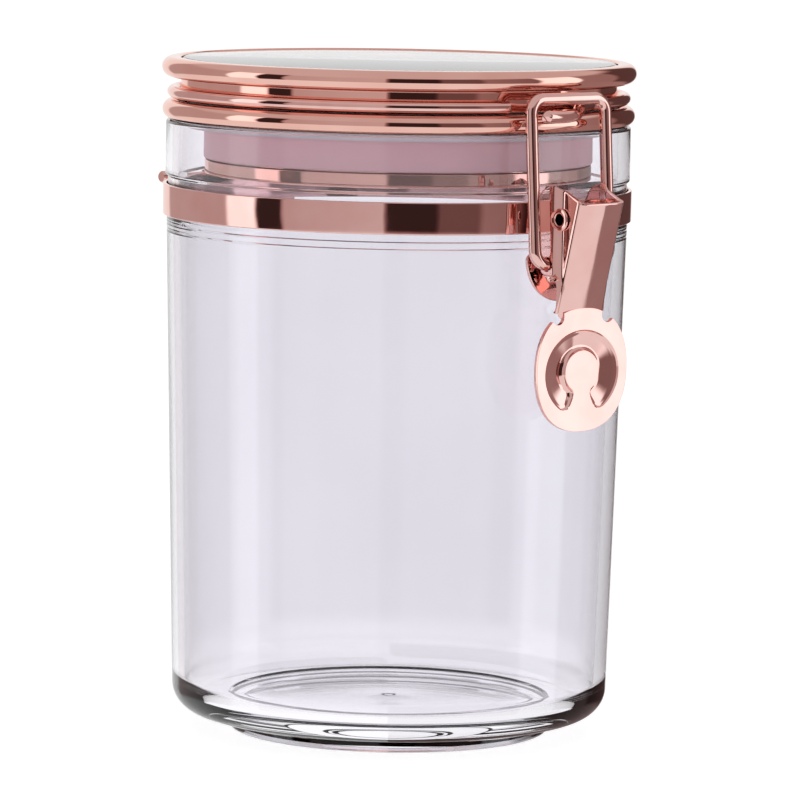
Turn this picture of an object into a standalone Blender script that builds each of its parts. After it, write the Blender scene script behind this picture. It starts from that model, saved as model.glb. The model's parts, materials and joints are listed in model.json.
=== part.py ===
"""Clear food canister with a clamp lid: jar, sealed lid, over-centre front latch and rear wire hinge.

Metres, +Z up. The origin is on the jar's axis in the plane that the foot stands on.
The latch faces -Y and the hinge is at +Y.
"""

import math

import bmesh
import bpy
from mathutils import Matrix, Vector

MM = 0.001

# Driving dimensions, in millimetres.
CLEARANCE = 0.3            # gap between neighbouring pieces
RING_STEPS = 64            # sides of every turned piece

JAR_NECK_R = 53.6          # outside of the clear neck
JAR_TOP_STEP = 0.4         # the body is this much slimmer than the neck, just under the band
JAR_DRAFT = 2.5            # and slimmer again by this where the bottom corner begins
JAR_CORNER_R = 13.6        # rounded bottom corner
JAR_WALL = 2.8
JAR_BASE = 3.8             # thickness of the base above the foot
FOOT_HEIGHT = 3.8
FOOT_RECESS = 0.8          # hollow of the underside, so the foot stands on its rim
FOOT_RIM = 3.2             # width of that rim

BAND_BOTTOM_Z = 119.2      # plated band around the neck
BAND_HEIGHT = 7.2
BAND_SHEET = 0.8

COLLAR_ABOVE_BAND = 14.8   # clear neck between the band and the plated ring that caps the mouth
COLLAR_HEIGHT = 4.5
COLLAR_OVERHANG = 0.9      # how far the collar stands out past the neck
COLLAR_WALL = 1.8          # clear of the bead's round part
COLLAR_LIP = 1.0

LID_RIM_OVERHANG = 1.1     # how far the plated lid rim stands out past the neck
LID_RIM_HEIGHT = 4.6
LID_RIM_SHELF = 2.8        # depth of the seat for the clear top
LID_CORE_WALL = 5.4        # from the core's outside, in the wire groove, to its bore
LID_RIM_BORDER = 4.7       # from the rim's outside to the clear lid top
LID_TOP_THICKNESS = 2.4
PLUG_DEPTH = 17.2          # how far the plug reaches below the lid
PLUG_FOOT = 3.3            # bare plated band at the plug's lower end, below the seal's sleeve
SLEEVE_WALL = 1.42         # seal's sleeve around the plug
PLUG_WALL = 1.6
SEAL_DEPTH = 6.2           # height of the seal's lip
SEAL_SQUEEZE_GAP = 0.6     # between seal and mouth; the real lip touches

WIRE_R = 1.42              # bail, lid ring and hinge wire
RING_WIRE_INSET = 1.6      # from the neck's outside in to the middle of the lid's ring wire
RING_END_GAP = 1.0         # from the bail's legs out to the lid ring wire's ends
HOOK_ENTRY_GAP = 2.1       # from the bail's leg in to the hook's first bend
HOOK_CLEARANCE = 0.95      # between the bail and the hook, so the latch can go over centre

SHEET = 1.0                # sheet of the lever and bracket
LEVER_WIDTH = 13.5
# Latch points, as (distance out from the neck, height above or below the band's bottom edge).
LEVER_PIVOT_AT = (8.6, 3.8)
BAIL_PIVOT_AT = (5.4, -6.3)
LEVER_FACE_TOP_AT = (15.6, 7.5)
LEVER_FACE_FOOT_AT = (9.3, -17.8)
BAIL_TOP_OUT = 2.9         # bail's top bar, out from the neck
BAIL_TOP_UP = 1.98         # and up from the lid's ring wire
BAIL_HALF_WIDTH = 11.3
DISC_WIDTH = 27.5
DISC_HEIGHT = 27.6
DISC_FULLNESS = 2.3        # 2 is an ellipse; more gives fuller shoulders
NOTCH_R = 1.9
NOTCH_AT = (7.6, 12.2)     # from the disc's middle: across, up
DISC_DROP = 12.2           # from the foot of the lever's face down to the disc's middle
RIVET_R = 1.9
RIVET_BORE_R = 1.3
RIVET_HEAD_R = 2.55
RIVET_HEAD = 0.5

RIVET_TO_EAR = 0.25        # head of a plate rivet to the ear beside it
RIVET_TO_MIDDLE = 0.6      # and to the middle of the bracket
PLATE_RIVET_FLANGE = 0.7   # overhang of the plate rivets' heads, and the heads' height
HINGE_RIVET_X = 3.6        # hinge plate's rivets, either side of the middle

BRACKET_HALF_WIDTH = 10.2
BRACKET_SHOULDER = 3.0     # height over which the tongue narrows to the ears
RELIEF_R = 0.9
RELIEF_AT = (3.2, 6.2)     # across from the middle, up from the bracket's foot
PLATE_BELOW_BAND_TOP = 0.4
ROOT_OVERLAP = 0.3         # how far a joined shape runs into its plate
BRACKET_DROP = 15.2        # from the band's bottom edge down to the bracket's foot
EAR_R = 3.2

HINGE_ROD_AT = (5.8, 6.0)  # hinge wire's feet: out from the neck, up from the band's bottom edge
HINGE_ROD_HALF_LENGTH = 21.8
HINGE_PIN_OUT = 3.6        # lid's own pivot, out from the neck
LINK_LEG_X = 7.0
LINK_CORNER_R = 2.2
CLIP_SIDE_GAP = 0.4        # between the lid's clip and the bends of the hinge wire
KNUCKLE_SHEET = 0.8
HINGE_PLATE_HALF_WIDTH = 13.2
HINGE_PLATE_DROP = 4.7     # from the band's bottom edge down to the hinge plate's edge

# Sizes that follow from the ones above.
JAR_TOP_R = JAR_NECK_R - JAR_TOP_STEP
JAR_LOW_R = JAR_TOP_R - JAR_DRAFT
COLLAR_BOTTOM_Z = BAND_BOTTOM_Z + BAND_HEIGHT + COLLAR_ABOVE_BAND
COLLAR_R = JAR_NECK_R + COLLAR_OVERHANG
LID_RIM_R = JAR_NECK_R + LID_RIM_OVERHANG
LID_TOP_R = LID_RIM_R - LID_RIM_BORDER
RING_WIRE_CENTRE_R = JAR_NECK_R - RING_WIRE_INSET
RING_END_X = BAIL_HALF_WIDTH + RING_END_GAP
HOOK_ENTRY_X = BAIL_HALF_WIDTH - HOOK_ENTRY_GAP
BAND_TOP_Z = BAND_BOTTOM_Z + BAND_HEIGHT
NECK_BORE_R = JAR_NECK_R - JAR_WALL
COLLAR_TOP_Z = COLLAR_BOTTOM_Z + COLLAR_HEIGHT
MOUTH_Z = COLLAR_TOP_Z - COLLAR_LIP - CLEARANCE
RING_WIRE_Z = COLLAR_TOP_Z + CLEARANCE + WIRE_R
LID_BOTTOM_Z = COLLAR_TOP_Z + CLEARANCE
RIM_BOTTOM_Z = RING_WIRE_Z + WIRE_R + 2.0
RIM_TOP_Z = RIM_BOTTOM_Z + LID_RIM_HEIGHT
CORE_R = RING_WIRE_CENTRE_R - WIRE_R - CLEARANCE
CORE_BORE_R = CORE_R - LID_CORE_WALL
PLUG_R = CORE_BORE_R - CLEARANCE
PLUG_WAIST_R = PLUG_R - SLEEVE_WALL
SHELF_Z = RIM_TOP_Z - LID_RIM_SHELF
BAND_R = JAR_TOP_R + 0.1 + BAND_SHEET
PLATE_INNER_R = BAND_R + CLEARANCE
PLATE_OUTER_R = PLATE_INNER_R + BAND_SHEET
WALL_INNER_X = LEVER_WIDTH / 2 - SHEET
EAR_OUTER_X = WALL_INNER_X - CLEARANCE
EAR_INNER_X = EAR_OUTER_X - SHEET
PLATE_RIVET_HEAD_R = (EAR_INNER_X - RIVET_TO_EAR - RIVET_TO_MIDDLE) / 2
PLATE_RIVET_R = PLATE_RIVET_HEAD_R - PLATE_RIVET_FLANGE
BRACKET_RIVET_X = EAR_INNER_X - RIVET_TO_EAR - PLATE_RIVET_HEAD_R
PLATE_TOP_Z = BAND_TOP_Z - PLATE_BELOW_BAND_TOP
LEVER_PIVOT = (JAR_NECK_R + LEVER_PIVOT_AT[0], BAND_BOTTOM_Z + LEVER_PIVOT_AT[1])
BAIL_PIVOT = (JAR_NECK_R + BAIL_PIVOT_AT[0], BAND_BOTTOM_Z + BAIL_PIVOT_AT[1])
BAIL_TOP = (JAR_NECK_R + BAIL_TOP_OUT, RING_WIRE_Z + BAIL_TOP_UP)
LEVER_FACE_TOP = (JAR_NECK_R + LEVER_FACE_TOP_AT[0], BAND_BOTTOM_Z + LEVER_FACE_TOP_AT[1])
LEVER_FACE_FOOT = (JAR_NECK_R + LEVER_FACE_FOOT_AT[0], BAND_BOTTOM_Z + LEVER_FACE_FOOT_AT[1])
DISC_CENTRE_Z = LEVER_FACE_FOOT[1] - DISC_DROP
BRACKET_FOOT_Z = BAND_BOTTOM_Z - BRACKET_DROP
HINGE_ROD = (JAR_NECK_R + HINGE_ROD_AT[0], BAND_BOTTOM_Z + HINGE_ROD_AT[1])
HINGE_PIN_R = JAR_NECK_R + HINGE_PIN_OUT
HINGE_PIN_Z = RING_WIRE_Z
HINGE_PLATE_BOTTOM_Z = BAND_BOTTOM_Z - HINGE_PLATE_DROP
KNUCKLE_BORE_R = WIRE_R + CLEARANCE
KNUCKLE_R = KNUCKLE_BORE_R + KNUCKLE_SHEET


# Helpers ------------------------------------------------------------------------------------

def clear_scene():
    for obj in list(bpy.data.objects):
        bpy.data.objects.remove(obj, do_unlink=True)


def make_collection(name):
    collection = bpy.data.collections.new(name)
    bpy.context.scene.collection.children.link(collection)
    return collection


def make_material(name, colour, roughness, metallic, alpha=1.0):
    material = bpy.data.materials.new(name)
    material.use_nodes = True
    shader = material.node_tree.nodes["Principled BSDF"]
    shader.inputs["Base Color"].default_value = (*colour, 1.0)
    shader.inputs["Roughness"].default_value = roughness
    shader.inputs["Metallic"].default_value = metallic
    shader.inputs["Alpha"].default_value = alpha
    return material


def plated_steel(name):
    return make_material(name, (0.82, 0.50, 0.43), 0.12, 1.0)


def plated_plastic(name):
    return make_material(name, (0.86, 0.56, 0.49), 0.10, 1.0)


def clear_acrylic(name):
    return make_material(name, (0.86, 0.85, 0.91), 0.05, 0.0, alpha=0.35)


def silicone(name):
    return make_material(name, (0.90, 0.88, 0.90), 0.55, 0.0)


def new_object(name, data, collection, material=None):
    obj = bpy.data.objects.new(name, data)
    collection.objects.link(obj)
    if material:
        data.materials.append(material)
    return obj


def scaled(points):
    return [Vector(point) * MM for point in points]


def arc(centre, radius, start_deg, end_deg, steps):
    """Points of an arc in a plane, from start to end."""
    points = []
    for i in range(steps + 1):
        angle = math.radians(start_deg + (end_deg - start_deg) * i / steps)
        points.append((centre[0] + radius * math.cos(angle), centre[1] + radius * math.sin(angle)))
    return points


def ellipse_arc(centre, half_width, half_height, start_deg, end_deg, steps):
    points = []
    for x, y in arc((0, 0), 1.0, start_deg, end_deg, steps):
        points.append((centre[0] + half_width * x, centre[1] + half_height * y))
    return points


def full_oval(centre, half_width, half_height, fullness, steps):
    """A closed oval whose shoulders are fuller than an ellipse's."""
    points = []
    for x, y in arc((0, 0), 1.0, 0, 360, steps)[:-1]:
        reach = (abs(x) ** fullness + abs(y) ** fullness) ** (-1 / fullness)
        points.append((centre[0] + half_width * x * reach, centre[1] + half_height * y * reach))
    return points


def turned(name, profile, collection, material):
    """A profile of (radius, height) points turned about the jar's axis; it runs down its outer side.

    It either starts and ends on the axis or closes on itself.
    """
    mesh = bpy.data.meshes.new(name)
    points = [(r * MM, 0.0, z * MM) for r, z in profile]
    edges = [(i, i + 1) for i in range(len(points) - 1)]
    if profile[0][0] > 0:
        edges.append((len(points) - 1, 0))
    mesh.from_pydata(points, edges, [])
    obj = new_object(name, mesh, collection, material)
    screw = obj.modifiers.new("turn", "SCREW")
    screw.axis = "Z"
    screw.steps = RING_STEPS
    screw.render_steps = RING_STEPS
    screw.use_merge_vertices = True
    screw.merge_threshold = 0.00001
    screw.use_smooth_shade = True
    return obj


def mesh_from_curve(curve, name, collection, material, matrix=None):
    """A curve made a mesh with its caps welded on."""
    maker = new_object(name + "_curve", curve, collection)
    if matrix:
        maker.matrix_world = matrix
    bpy.context.view_layer.update()
    depsgraph = bpy.context.evaluated_depsgraph_get()
    mesh = bpy.data.meshes.new_from_object(maker.evaluated_get(depsgraph))
    mesh.transform(maker.matrix_world)
    bpy.data.objects.remove(maker, do_unlink=True)
    bpy.data.curves.remove(curve)
    work = bmesh.new()
    work.from_mesh(mesh)
    bmesh.ops.remove_doubles(work, verts=work.verts, dist=0.000002)
    bmesh.ops.recalc_face_normals(work, faces=work.faces)
    work.to_mesh(mesh)
    work.free()
    mesh.materials.clear()
    mesh.name = name
    return new_object(name, mesh, collection, material)


def wire(name, points, radius, collection, material, sides=12):
    """A round wire along points, with flat ends."""
    curve = bpy.data.curves.new(name + "_path", "CURVE")
    curve.dimensions = "3D"
    curve.bevel_depth = radius * MM
    curve.bevel_resolution = sides // 2 - 2
    curve.use_fill_caps = True
    spline = curve.splines.new("POLY")
    path = scaled(points)
    spline.points.add(len(path) - 1)
    for spot, point in zip(spline.points, path):
        spot.co = (*point, 1.0)
    obj = mesh_from_curve(curve, name, collection, material)
    obj.data.shade_smooth()
    obj.data.set_sharp_from_angle(angle=math.radians(50))
    return obj


def sheet(name, outline, thickness, matrix, collection, material=None):
    """A flat outline given a thickness; matrix carries its own XY plane into place."""
    curve = bpy.data.curves.new(name + "_outline", "CURVE")
    curve.dimensions = "2D"
    curve.fill_mode = "BOTH"
    curve.extrude = thickness * MM / 2
    spline = curve.splines.new("POLY")
    spline.use_cyclic_u = True
    spline.points.add(len(outline) - 1)
    for spot, (x, y) in zip(spline.points, outline):
        spot.co = (x * MM, y * MM, 0.0, 1.0)
    return mesh_from_curve(curve, name, collection, material, matrix)


def side_plane(x):
    """Outline (distance towards -Y, height) in a plane across X at the given place."""
    return Matrix(((0, 0, 1, x * MM), (-1, 0, 0, 0), (0, 1, 0, 0), (0, 0, 0, 1)))


def rear_plane(x):
    """Outline (distance towards +Y, height) in a plane across X at the given place."""
    return Matrix(((0, 0, 1, x * MM), (1, 0, 0, 0), (0, 1, 0, 0), (0, 0, 0, 1)))


def front_plane(distance, tilt=0.0, height=0.0):
    """Outline (X, up) in a plane facing -Y at a distance from the jar's axis, tipped by tilt."""
    upright = Matrix(((1, 0, 0, 0), (0, 0, -1, 0), (0, 1, 0, 0), (0, 0, 0, 1)))
    place = Matrix.Translation((0, -distance * MM, height * MM))
    return place @ Matrix.Rotation(tilt, 4, "X") @ upright


def across(name, radius, half_length, centre, collection, material=None, sides=24, side=-1):
    """A round bar along X, centred at (distance towards the latch or hinge, height)."""
    mesh = bpy.data.meshes.new(name)
    work = bmesh.new()
    bmesh.ops.create_cone(work, cap_ends=True, segments=sides, radius1=radius * MM,
                          radius2=radius * MM, depth=2 * half_length * MM)
    bmesh.ops.rotate(work, verts=work.verts, matrix=Matrix.Rotation(math.radians(90), 3, "Y"))
    bmesh.ops.translate(work, verts=work.verts, vec=(0, side * centre[0] * MM, centre[1] * MM))
    work.to_mesh(mesh)
    work.free()
    return new_object(name, mesh, collection, material)


def outwards(name, radius, x, z, near, far, collection, material=None, sides=16, side=-1):
    """A round bar along Y from one distance from the jar's axis to another."""
    mesh = bpy.data.meshes.new(name)
    work = bmesh.new()
    bmesh.ops.create_cone(work, cap_ends=True, segments=sides, radius1=radius * MM,
                          radius2=radius * MM, depth=(far - near) * MM)
    bmesh.ops.rotate(work, verts=work.verts, matrix=Matrix.Rotation(math.radians(90), 3, "X"))
    bmesh.ops.translate(work, verts=work.verts, vec=(x * MM, side * (near + far) / 2 * MM, z * MM))
    work.to_mesh(mesh)
    work.free()
    return new_object(name, mesh, collection, material)


def combine(obj, other, operation, cutters):
    """Joins other to obj, or cuts it away, and puts it with the cutters."""
    modifier = obj.modifiers.new(other.name, "BOOLEAN")
    modifier.operation = operation
    modifier.object = other
    modifier.solver = "EXACT"
    for collection in list(other.users_collection):
        collection.objects.unlink(other)
    cutters.objects.link(other)
    other.hide_render = True
    other.display_type = "WIRE"


def make_pivot(name, place, parts, parent=None):
    """An empty on a joint's axis, at (x, y, z) in millimetres; what moves with the joint hangs on it."""
    pivot = new_object(name, None, parts)
    pivot.empty_display_size = 0.01
    pivot.location = Vector(place) * MM
    if parent:
        pivot.parent = parent
        pivot.location -= parent.matrix_world.translation
    bpy.context.view_layer.update()
    return pivot


def hang_on(pivot, *pieces):
    """Parents pieces to a pivot without moving them."""
    for piece in pieces:
        piece.parent = pivot
        piece.location = -pivot.matrix_world.translation


def rounded_path(points, radius, steps):
    """A path through 3-D points with its corners rounded."""
    corners = [Vector(point) for point in points]
    path = [corners[0]]
    for before, corner, after in zip(corners, corners[1:], corners[2:]):
        into = (corner - before).normalized()
        out = (after - corner).normalized()
        turn = into.angle(out)
        reach = radius * math.tan(turn / 2)
        start = corner - into * reach
        centre = corner + (out - into).normalized() * radius / math.cos(turn / 2)
        for i in range(steps + 1):
            swing = Matrix.Rotation(turn * i / steps, 3, into.cross(out))
            path.append(centre + swing @ (start - centre))
    path.append(corners[-1])
    return path


def smooth_path(points, steps):
    """A Catmull-Rom curve through 3-D points."""
    knots = [Vector(point) for point in points]
    knots = [2 * knots[0] - knots[1]] + knots + [2 * knots[-1] - knots[-2]]
    path = []
    for a, b, c, d in zip(knots, knots[1:], knots[2:], knots[3:]):
        for i in range(steps):
            t = i / steps
            path.append(0.5 * (2 * b + (c - a) * t + (2 * a - 5 * b + 4 * c - d) * t * t
                               + (3 * b - a - 3 * c + d) * t ** 3))
    path.append(knots[-2])
    return path


# Jar and its fixed fittings -----------------------------------------------------------------

def make_jar(parts):
    """The clear moulded jar: drafted body, rounded corner, foot, band groove and mouth land."""
    base_r = JAR_LOW_R - JAR_CORNER_R
    corner_z = FOOT_HEIGHT + JAR_CORNER_R
    floor_z = FOOT_HEIGHT + JAR_BASE
    inner_corner_r = JAR_CORNER_R - JAR_WALL
    land_r = COLLAR_R - COLLAR_WALL - CLEARANCE
    groove_r = BAND_R - BAND_SHEET - CLEARANCE
    groove_top_z = BAND_TOP_Z + 1.6
    groove_bottom_z = BAND_BOTTOM_Z - CLEARANCE
    shoulder_z = groove_bottom_z - 0.6
    outer = [
        (land_r, MOUTH_Z),
        (land_r, COLLAR_BOTTOM_Z - CLEARANCE),
        (JAR_NECK_R, COLLAR_BOTTOM_Z - CLEARANCE),
        (JAR_NECK_R, groove_top_z + 0.5),
        (groove_r, groove_top_z),
        (groove_r, groove_bottom_z),
        (JAR_TOP_R, shoulder_z),
    ]
    outer += arc((base_r, corner_z), JAR_CORNER_R, 0, -90, 8)
    outer += [
        (base_r, 0.6),
        (base_r - 0.6, 0.0),
        (base_r - FOOT_RIM, 0.0),
        (base_r - FOOT_RIM - FOOT_RECESS, FOOT_RECESS),
        (0.0, FOOT_RECESS),
    ]
    inner = [(0.0, floor_z)]
    inner += arc((base_r, floor_z + inner_corner_r), inner_corner_r, -90, 0, 6)
    inner += [
        (JAR_TOP_R - JAR_WALL, shoulder_z),
        (NECK_BORE_R, groove_top_z + 2.0),
        (NECK_BORE_R, MOUTH_Z),
    ]
    return turned("jar", inner + outer, parts, clear_acrylic("jar_acrylic"))


def make_collar(parts):
    """Plated ring over the jar's mouth: a rounded outside with a lip across the mouth's edge."""
    round_r = COLLAR_HEIGHT / 2
    last_deg = -75
    inside_r = COLLAR_R - COLLAR_WALL
    lip_r = NECK_BORE_R + 0.4
    profile = [(lip_r, COLLAR_TOP_Z)]
    profile += arc((COLLAR_R - round_r, COLLAR_BOTTOM_Z + round_r), round_r, 90, last_deg, 11)
    profile += [
        (inside_r, COLLAR_BOTTOM_Z),
        (inside_r, COLLAR_TOP_Z - COLLAR_LIP),
        (lip_r, COLLAR_TOP_Z - COLLAR_LIP),
    ]
    return turned("jar_collar_ring", profile, parts, plated_plastic("collar_plating"))


def make_band(parts):
    """Plated steel band in the neck's groove; it carries the latch and the hinge."""
    edge = 0.2
    inner_r = BAND_R - BAND_SHEET
    profile = [
        (BAND_R - edge, BAND_TOP_Z),
        (BAND_R, BAND_TOP_Z - edge),
        (BAND_R, BAND_BOTTOM_Z + edge),
        (BAND_R - edge, BAND_BOTTOM_Z),
        (inner_r, BAND_BOTTOM_Z),
        (inner_r, BAND_TOP_Z),
    ]
    return turned("neck_band", profile, parts, plated_steel("band_plating"))


def ear_outline(pivot, root_r, top_z, bottom_z):
    """A side view of an ear: a root on its plate and a round end about the pivot."""
    outline = [(root_r, bottom_z)]
    outline += arc(pivot, EAR_R, -80, 80, 10)
    outline.append((root_r, top_z))
    return outline


def make_bracket(parts, cutters):
    """Latch bracket: a tongue plate on the band with two ears folded out for the lever's rivet."""
    centre_z = BRACKET_FOOT_Z + BRACKET_HALF_WIDTH
    neck_z = centre_z + BRACKET_SHOULDER
    top_z = PLATE_TOP_Z
    outline = [
        (EAR_OUTER_X, top_z),
        (-EAR_OUTER_X, top_z),
        (-EAR_OUTER_X, neck_z),
        (-BRACKET_HALF_WIDTH, centre_z),
    ]
    outline += arc((0, centre_z), BRACKET_HALF_WIDTH, 190, 350, 16)
    outline += [(BRACKET_HALF_WIDTH, centre_z), (EAR_OUTER_X, neck_z)]
    middle_r = (PLATE_INNER_R + PLATE_OUTER_R) / 2
    bracket = sheet("latch_bracket", outline, PLATE_OUTER_R - PLATE_INNER_R,
                    front_plane(middle_r), parts, plated_steel("bracket_plating"))
    ear = ear_outline(LEVER_PIVOT, PLATE_OUTER_R - ROOT_OVERLAP, top_z, neck_z + 1.0)
    for side, name in ((-1, "left"), (1, "right")):
        x = side * (EAR_INNER_X + EAR_OUTER_X) / 2
        combine(bracket, sheet("ear_" + name, ear, SHEET - 0.02, side_plane(x), cutters), "UNION", cutters)
        relief = outwards("relief_" + name, RELIEF_R, side * RELIEF_AT[0], BRACKET_FOOT_Z + RELIEF_AT[1],
                          PLATE_INNER_R - 1, PLATE_OUTER_R + 1, cutters)
        combine(bracket, relief, "DIFFERENCE", cutters)
        hole = outwards("rivet_hole_" + name, PLATE_RIVET_R + CLEARANCE, side * BRACKET_RIVET_X,
                        (BAND_BOTTOM_Z + top_z) / 2, PLATE_INNER_R - 1, PLATE_OUTER_R + 1, cutters)
        combine(bracket, hole, "DIFFERENCE", cutters)
    bore = across("ear_bore", RIVET_R + CLEARANCE, WALL_INNER_X, LEVER_PIVOT, cutters)
    combine(bracket, bore, "DIFFERENCE", cutters)
    return bracket


def make_plate_rivets(prefix, x_places, z, side, plate_outer_r, parts):
    """Small rivets that hold a plate on the band; the tail stops short of the band's outside."""
    for x, name in zip(x_places, ("left", "right")):
        surface_r = math.sqrt(BAND_R ** 2 - x ** 2)
        rivet = outwards(f"{prefix}_rivet_{name}", PLATE_RIVET_R, x, z, surface_r + CLEARANCE,
                         plate_outer_r + CLEARANCE + 0.4, parts, plated_steel(f"{prefix}_rivet_{name}"),
                         side=side)
        head = outwards(f"{prefix}_rivet_head_{name}", PLATE_RIVET_HEAD_R, x, z, plate_outer_r + CLEARANCE,
                        plate_outer_r + CLEARANCE + PLATE_RIVET_FLANGE, parts, side=side)
        yield rivet, head


def make_lever_rivet(parts, cutters):
    """Tubular rivet through the lever's walls and the bracket's ears."""
    half = LEVER_WIDTH / 2 + CLEARANCE + RIVET_HEAD
    rivet = across("lever_pivot_rivet", RIVET_R, half - RIVET_HEAD / 2, LEVER_PIVOT, parts,
                   plated_steel("lever_rivet"))
    for side, name in ((-1, "left"), (1, "right")):
        head = across("rivet_flange_" + name, RIVET_HEAD_R, RIVET_HEAD / 2, LEVER_PIVOT, cutters)
        head.data.transform(Matrix.Translation((side * (half - RIVET_HEAD / 2) * MM, 0, 0)))
        combine(rivet, head, "UNION", cutters)
    combine(rivet, across("rivet_bore", RIVET_BORE_R, half + 1, LEVER_PIVOT, cutters), "DIFFERENCE", cutters)
    return rivet


# Latch --------------------------------------------------------------------------------------

def lever_wall_outline():
    """Side view of a lever wall: a rounded lobe about both pivots, tapering to the thumb disc."""
    lobe_r = 2.6
    crown_r = 7.4
    outline = [LEVER_FACE_TOP]
    outline += arc(LEVER_PIVOT, crown_r, 78, 168, 8)
    outline += arc(BAIL_PIVOT, lobe_r, 180, 290, 8)
    outline += [
        (LEVER_PIVOT[0] + 0.2, BAIL_PIVOT[1] - 0.4),
        (LEVER_FACE_FOOT[0] - 1.2, LEVER_FACE_FOOT[1] + 1.0),
        LEVER_FACE_FOOT,
    ]
    return outline


def make_lever(parts, cutters):
    """The latch lever: a channel that rises to the pivots, and a thumb disc with a sunk crescent."""
    face_run = Vector(LEVER_FACE_TOP) - Vector(LEVER_FACE_FOOT)
    tilt = math.atan2(face_run.x, face_run.y)
    wall = lever_wall_outline()
    disc_r = LEVER_FACE_FOOT[0] - SHEET / 2
    disc = full_oval((0, DISC_CENTRE_Z), DISC_WIDTH / 2, DISC_HEIGHT / 2, DISC_FULLNESS, 48)
    lever = sheet("lever", disc, SHEET, front_plane(disc_r), parts, plated_steel("lever_plating"))
    half = LEVER_WIDTH / 2
    middle = (Vector(LEVER_FACE_TOP) + Vector(LEVER_FACE_FOOT)) / 2
    inward = Vector((-math.cos(tilt), math.sin(tilt))) * SHEET / 2
    reach = face_run.length / 2
    face = [(-half, -reach), (half, -reach), (half, reach), (-half, reach)]
    plane = front_plane(middle.x + inward.x, tilt, middle.y + inward.y)
    combine(lever, sheet("lever_face", face, SHEET - 0.02, plane, cutters), "UNION", cutters)
    for side, name in ((-1, "left"), (1, "right")):
        x = side * (half - SHEET / 2)
        combine(lever, sheet("lever_wall_" + name, wall, SHEET, side_plane(x), cutters), "UNION", cutters)
    for side, name in ((-1, "left"), (1, "right")):
        notch = outwards("notch_" + name, NOTCH_R, side * NOTCH_AT[0], DISC_CENTRE_Z + NOTCH_AT[1],
                         disc_r - 2, disc_r + 2, cutters)
        combine(lever, notch, "DIFFERENCE", cutters)
    bore = across("lever_bore", RIVET_R + CLEARANCE, LEVER_WIDTH, LEVER_PIVOT, cutters)
    combine(lever, bore, "DIFFERENCE", cutters)
    combine(lever, across("bail_bore", WIRE_R + CLEARANCE, LEVER_WIDTH, BAIL_PIVOT, cutters),
            "DIFFERENCE", cutters)
    crescent = ellipse_arc((0, DISC_CENTRE_Z - 0.7), 11.3, 9.6, -68, 248, 36)
    crescent += ellipse_arc((0, DISC_CENTRE_Z - 0.4), 5.1, 4.7, 245, -65, 20)
    sunk = sheet("crescent", crescent, SHEET, front_plane(disc_r + SHEET - 0.5), cutters)
    combine(lever, sunk, "DIFFERENCE", cutters)
    return lever


def make_bail(parts):
    """Rectangular wire bail: its ends turn in through the lever's walls, its top bar holds the lid's hook."""
    corner_r = 3.2
    inner_x = WALL_INNER_X - 0.6
    corners = [
        (-inner_x, -BAIL_PIVOT[0], BAIL_PIVOT[1]),
        (-BAIL_HALF_WIDTH, -BAIL_PIVOT[0], BAIL_PIVOT[1]),
        (-BAIL_HALF_WIDTH, -BAIL_TOP[0], BAIL_TOP[1]),
        (BAIL_HALF_WIDTH, -BAIL_TOP[0], BAIL_TOP[1]),
        (BAIL_HALF_WIDTH, -BAIL_PIVOT[0], BAIL_PIVOT[1]),
        (inner_x, -BAIL_PIVOT[0], BAIL_PIVOT[1]),
    ]
    return wire("bail", rounded_path(corners, corner_r, 5), WIRE_R, parts, plated_steel("bail_plating"))


# Lid ----------------------------------------------------------------------------------------

def make_lid_rim(parts):
    """Plated rim: a rounded bead above the wire groove, a core inside the wire and a seat for the top."""
    round_r = LID_RIM_HEIGHT / 2
    seat_r = LID_TOP_R + CLEARANCE
    profile = [(seat_r, RIM_TOP_Z - 0.4), (seat_r + 0.6, RIM_TOP_Z)]
    profile += arc((LID_RIM_R - round_r, RIM_BOTTOM_Z + round_r), round_r, 90, -90, 12)
    profile += [
        (CORE_R, RIM_BOTTOM_Z),
        (CORE_R, LID_BOTTOM_Z),
        (CORE_BORE_R, LID_BOTTOM_Z),
        (CORE_BORE_R, SHELF_Z),
        (seat_r, SHELF_Z),
    ]
    return turned("lid_rim_ring", profile, parts, plated_plastic("rim_plating"))


def make_lid_top(parts):
    """Clear disc set into the rim."""
    bottom_z = SHELF_Z + CLEARANCE
    top_z = bottom_z + LID_TOP_THICKNESS
    edge = 0.4
    profile = [
        (0.0, top_z),
        (LID_TOP_R - edge, top_z),
        (LID_TOP_R, top_z - edge),
        (LID_TOP_R, bottom_z),
        (0.0, bottom_z),
    ]
    return turned("lid_top_plate", profile, parts, clear_acrylic("lid_acrylic"))


def make_plug(parts):
    """Plated cup under the lid that fills the mouth; it opens upwards and its waist carries the seal."""
    bottom_z = LID_BOTTOM_Z - PLUG_DEPTH
    edge = 0.5
    bore_r = PLUG_WAIST_R - PLUG_WALL
    top_z = SHELF_Z - 0.1
    profile = [
        (0.0, bottom_z + PLUG_WALL),
        (bore_r, bottom_z + PLUG_WALL),
        (bore_r, top_z),
        (PLUG_R, top_z),
        (PLUG_R, LID_BOTTOM_Z),
        (PLUG_WAIST_R, LID_BOTTOM_Z),
        (PLUG_WAIST_R, bottom_z + PLUG_FOOT),
        (PLUG_R, bottom_z + PLUG_FOOT),
        (PLUG_R, bottom_z + edge),
        (PLUG_R - edge, bottom_z),
        (0.0, bottom_z),
    ]
    return turned("lid_plug", profile, parts, plated_plastic("plug_plating"))


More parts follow.
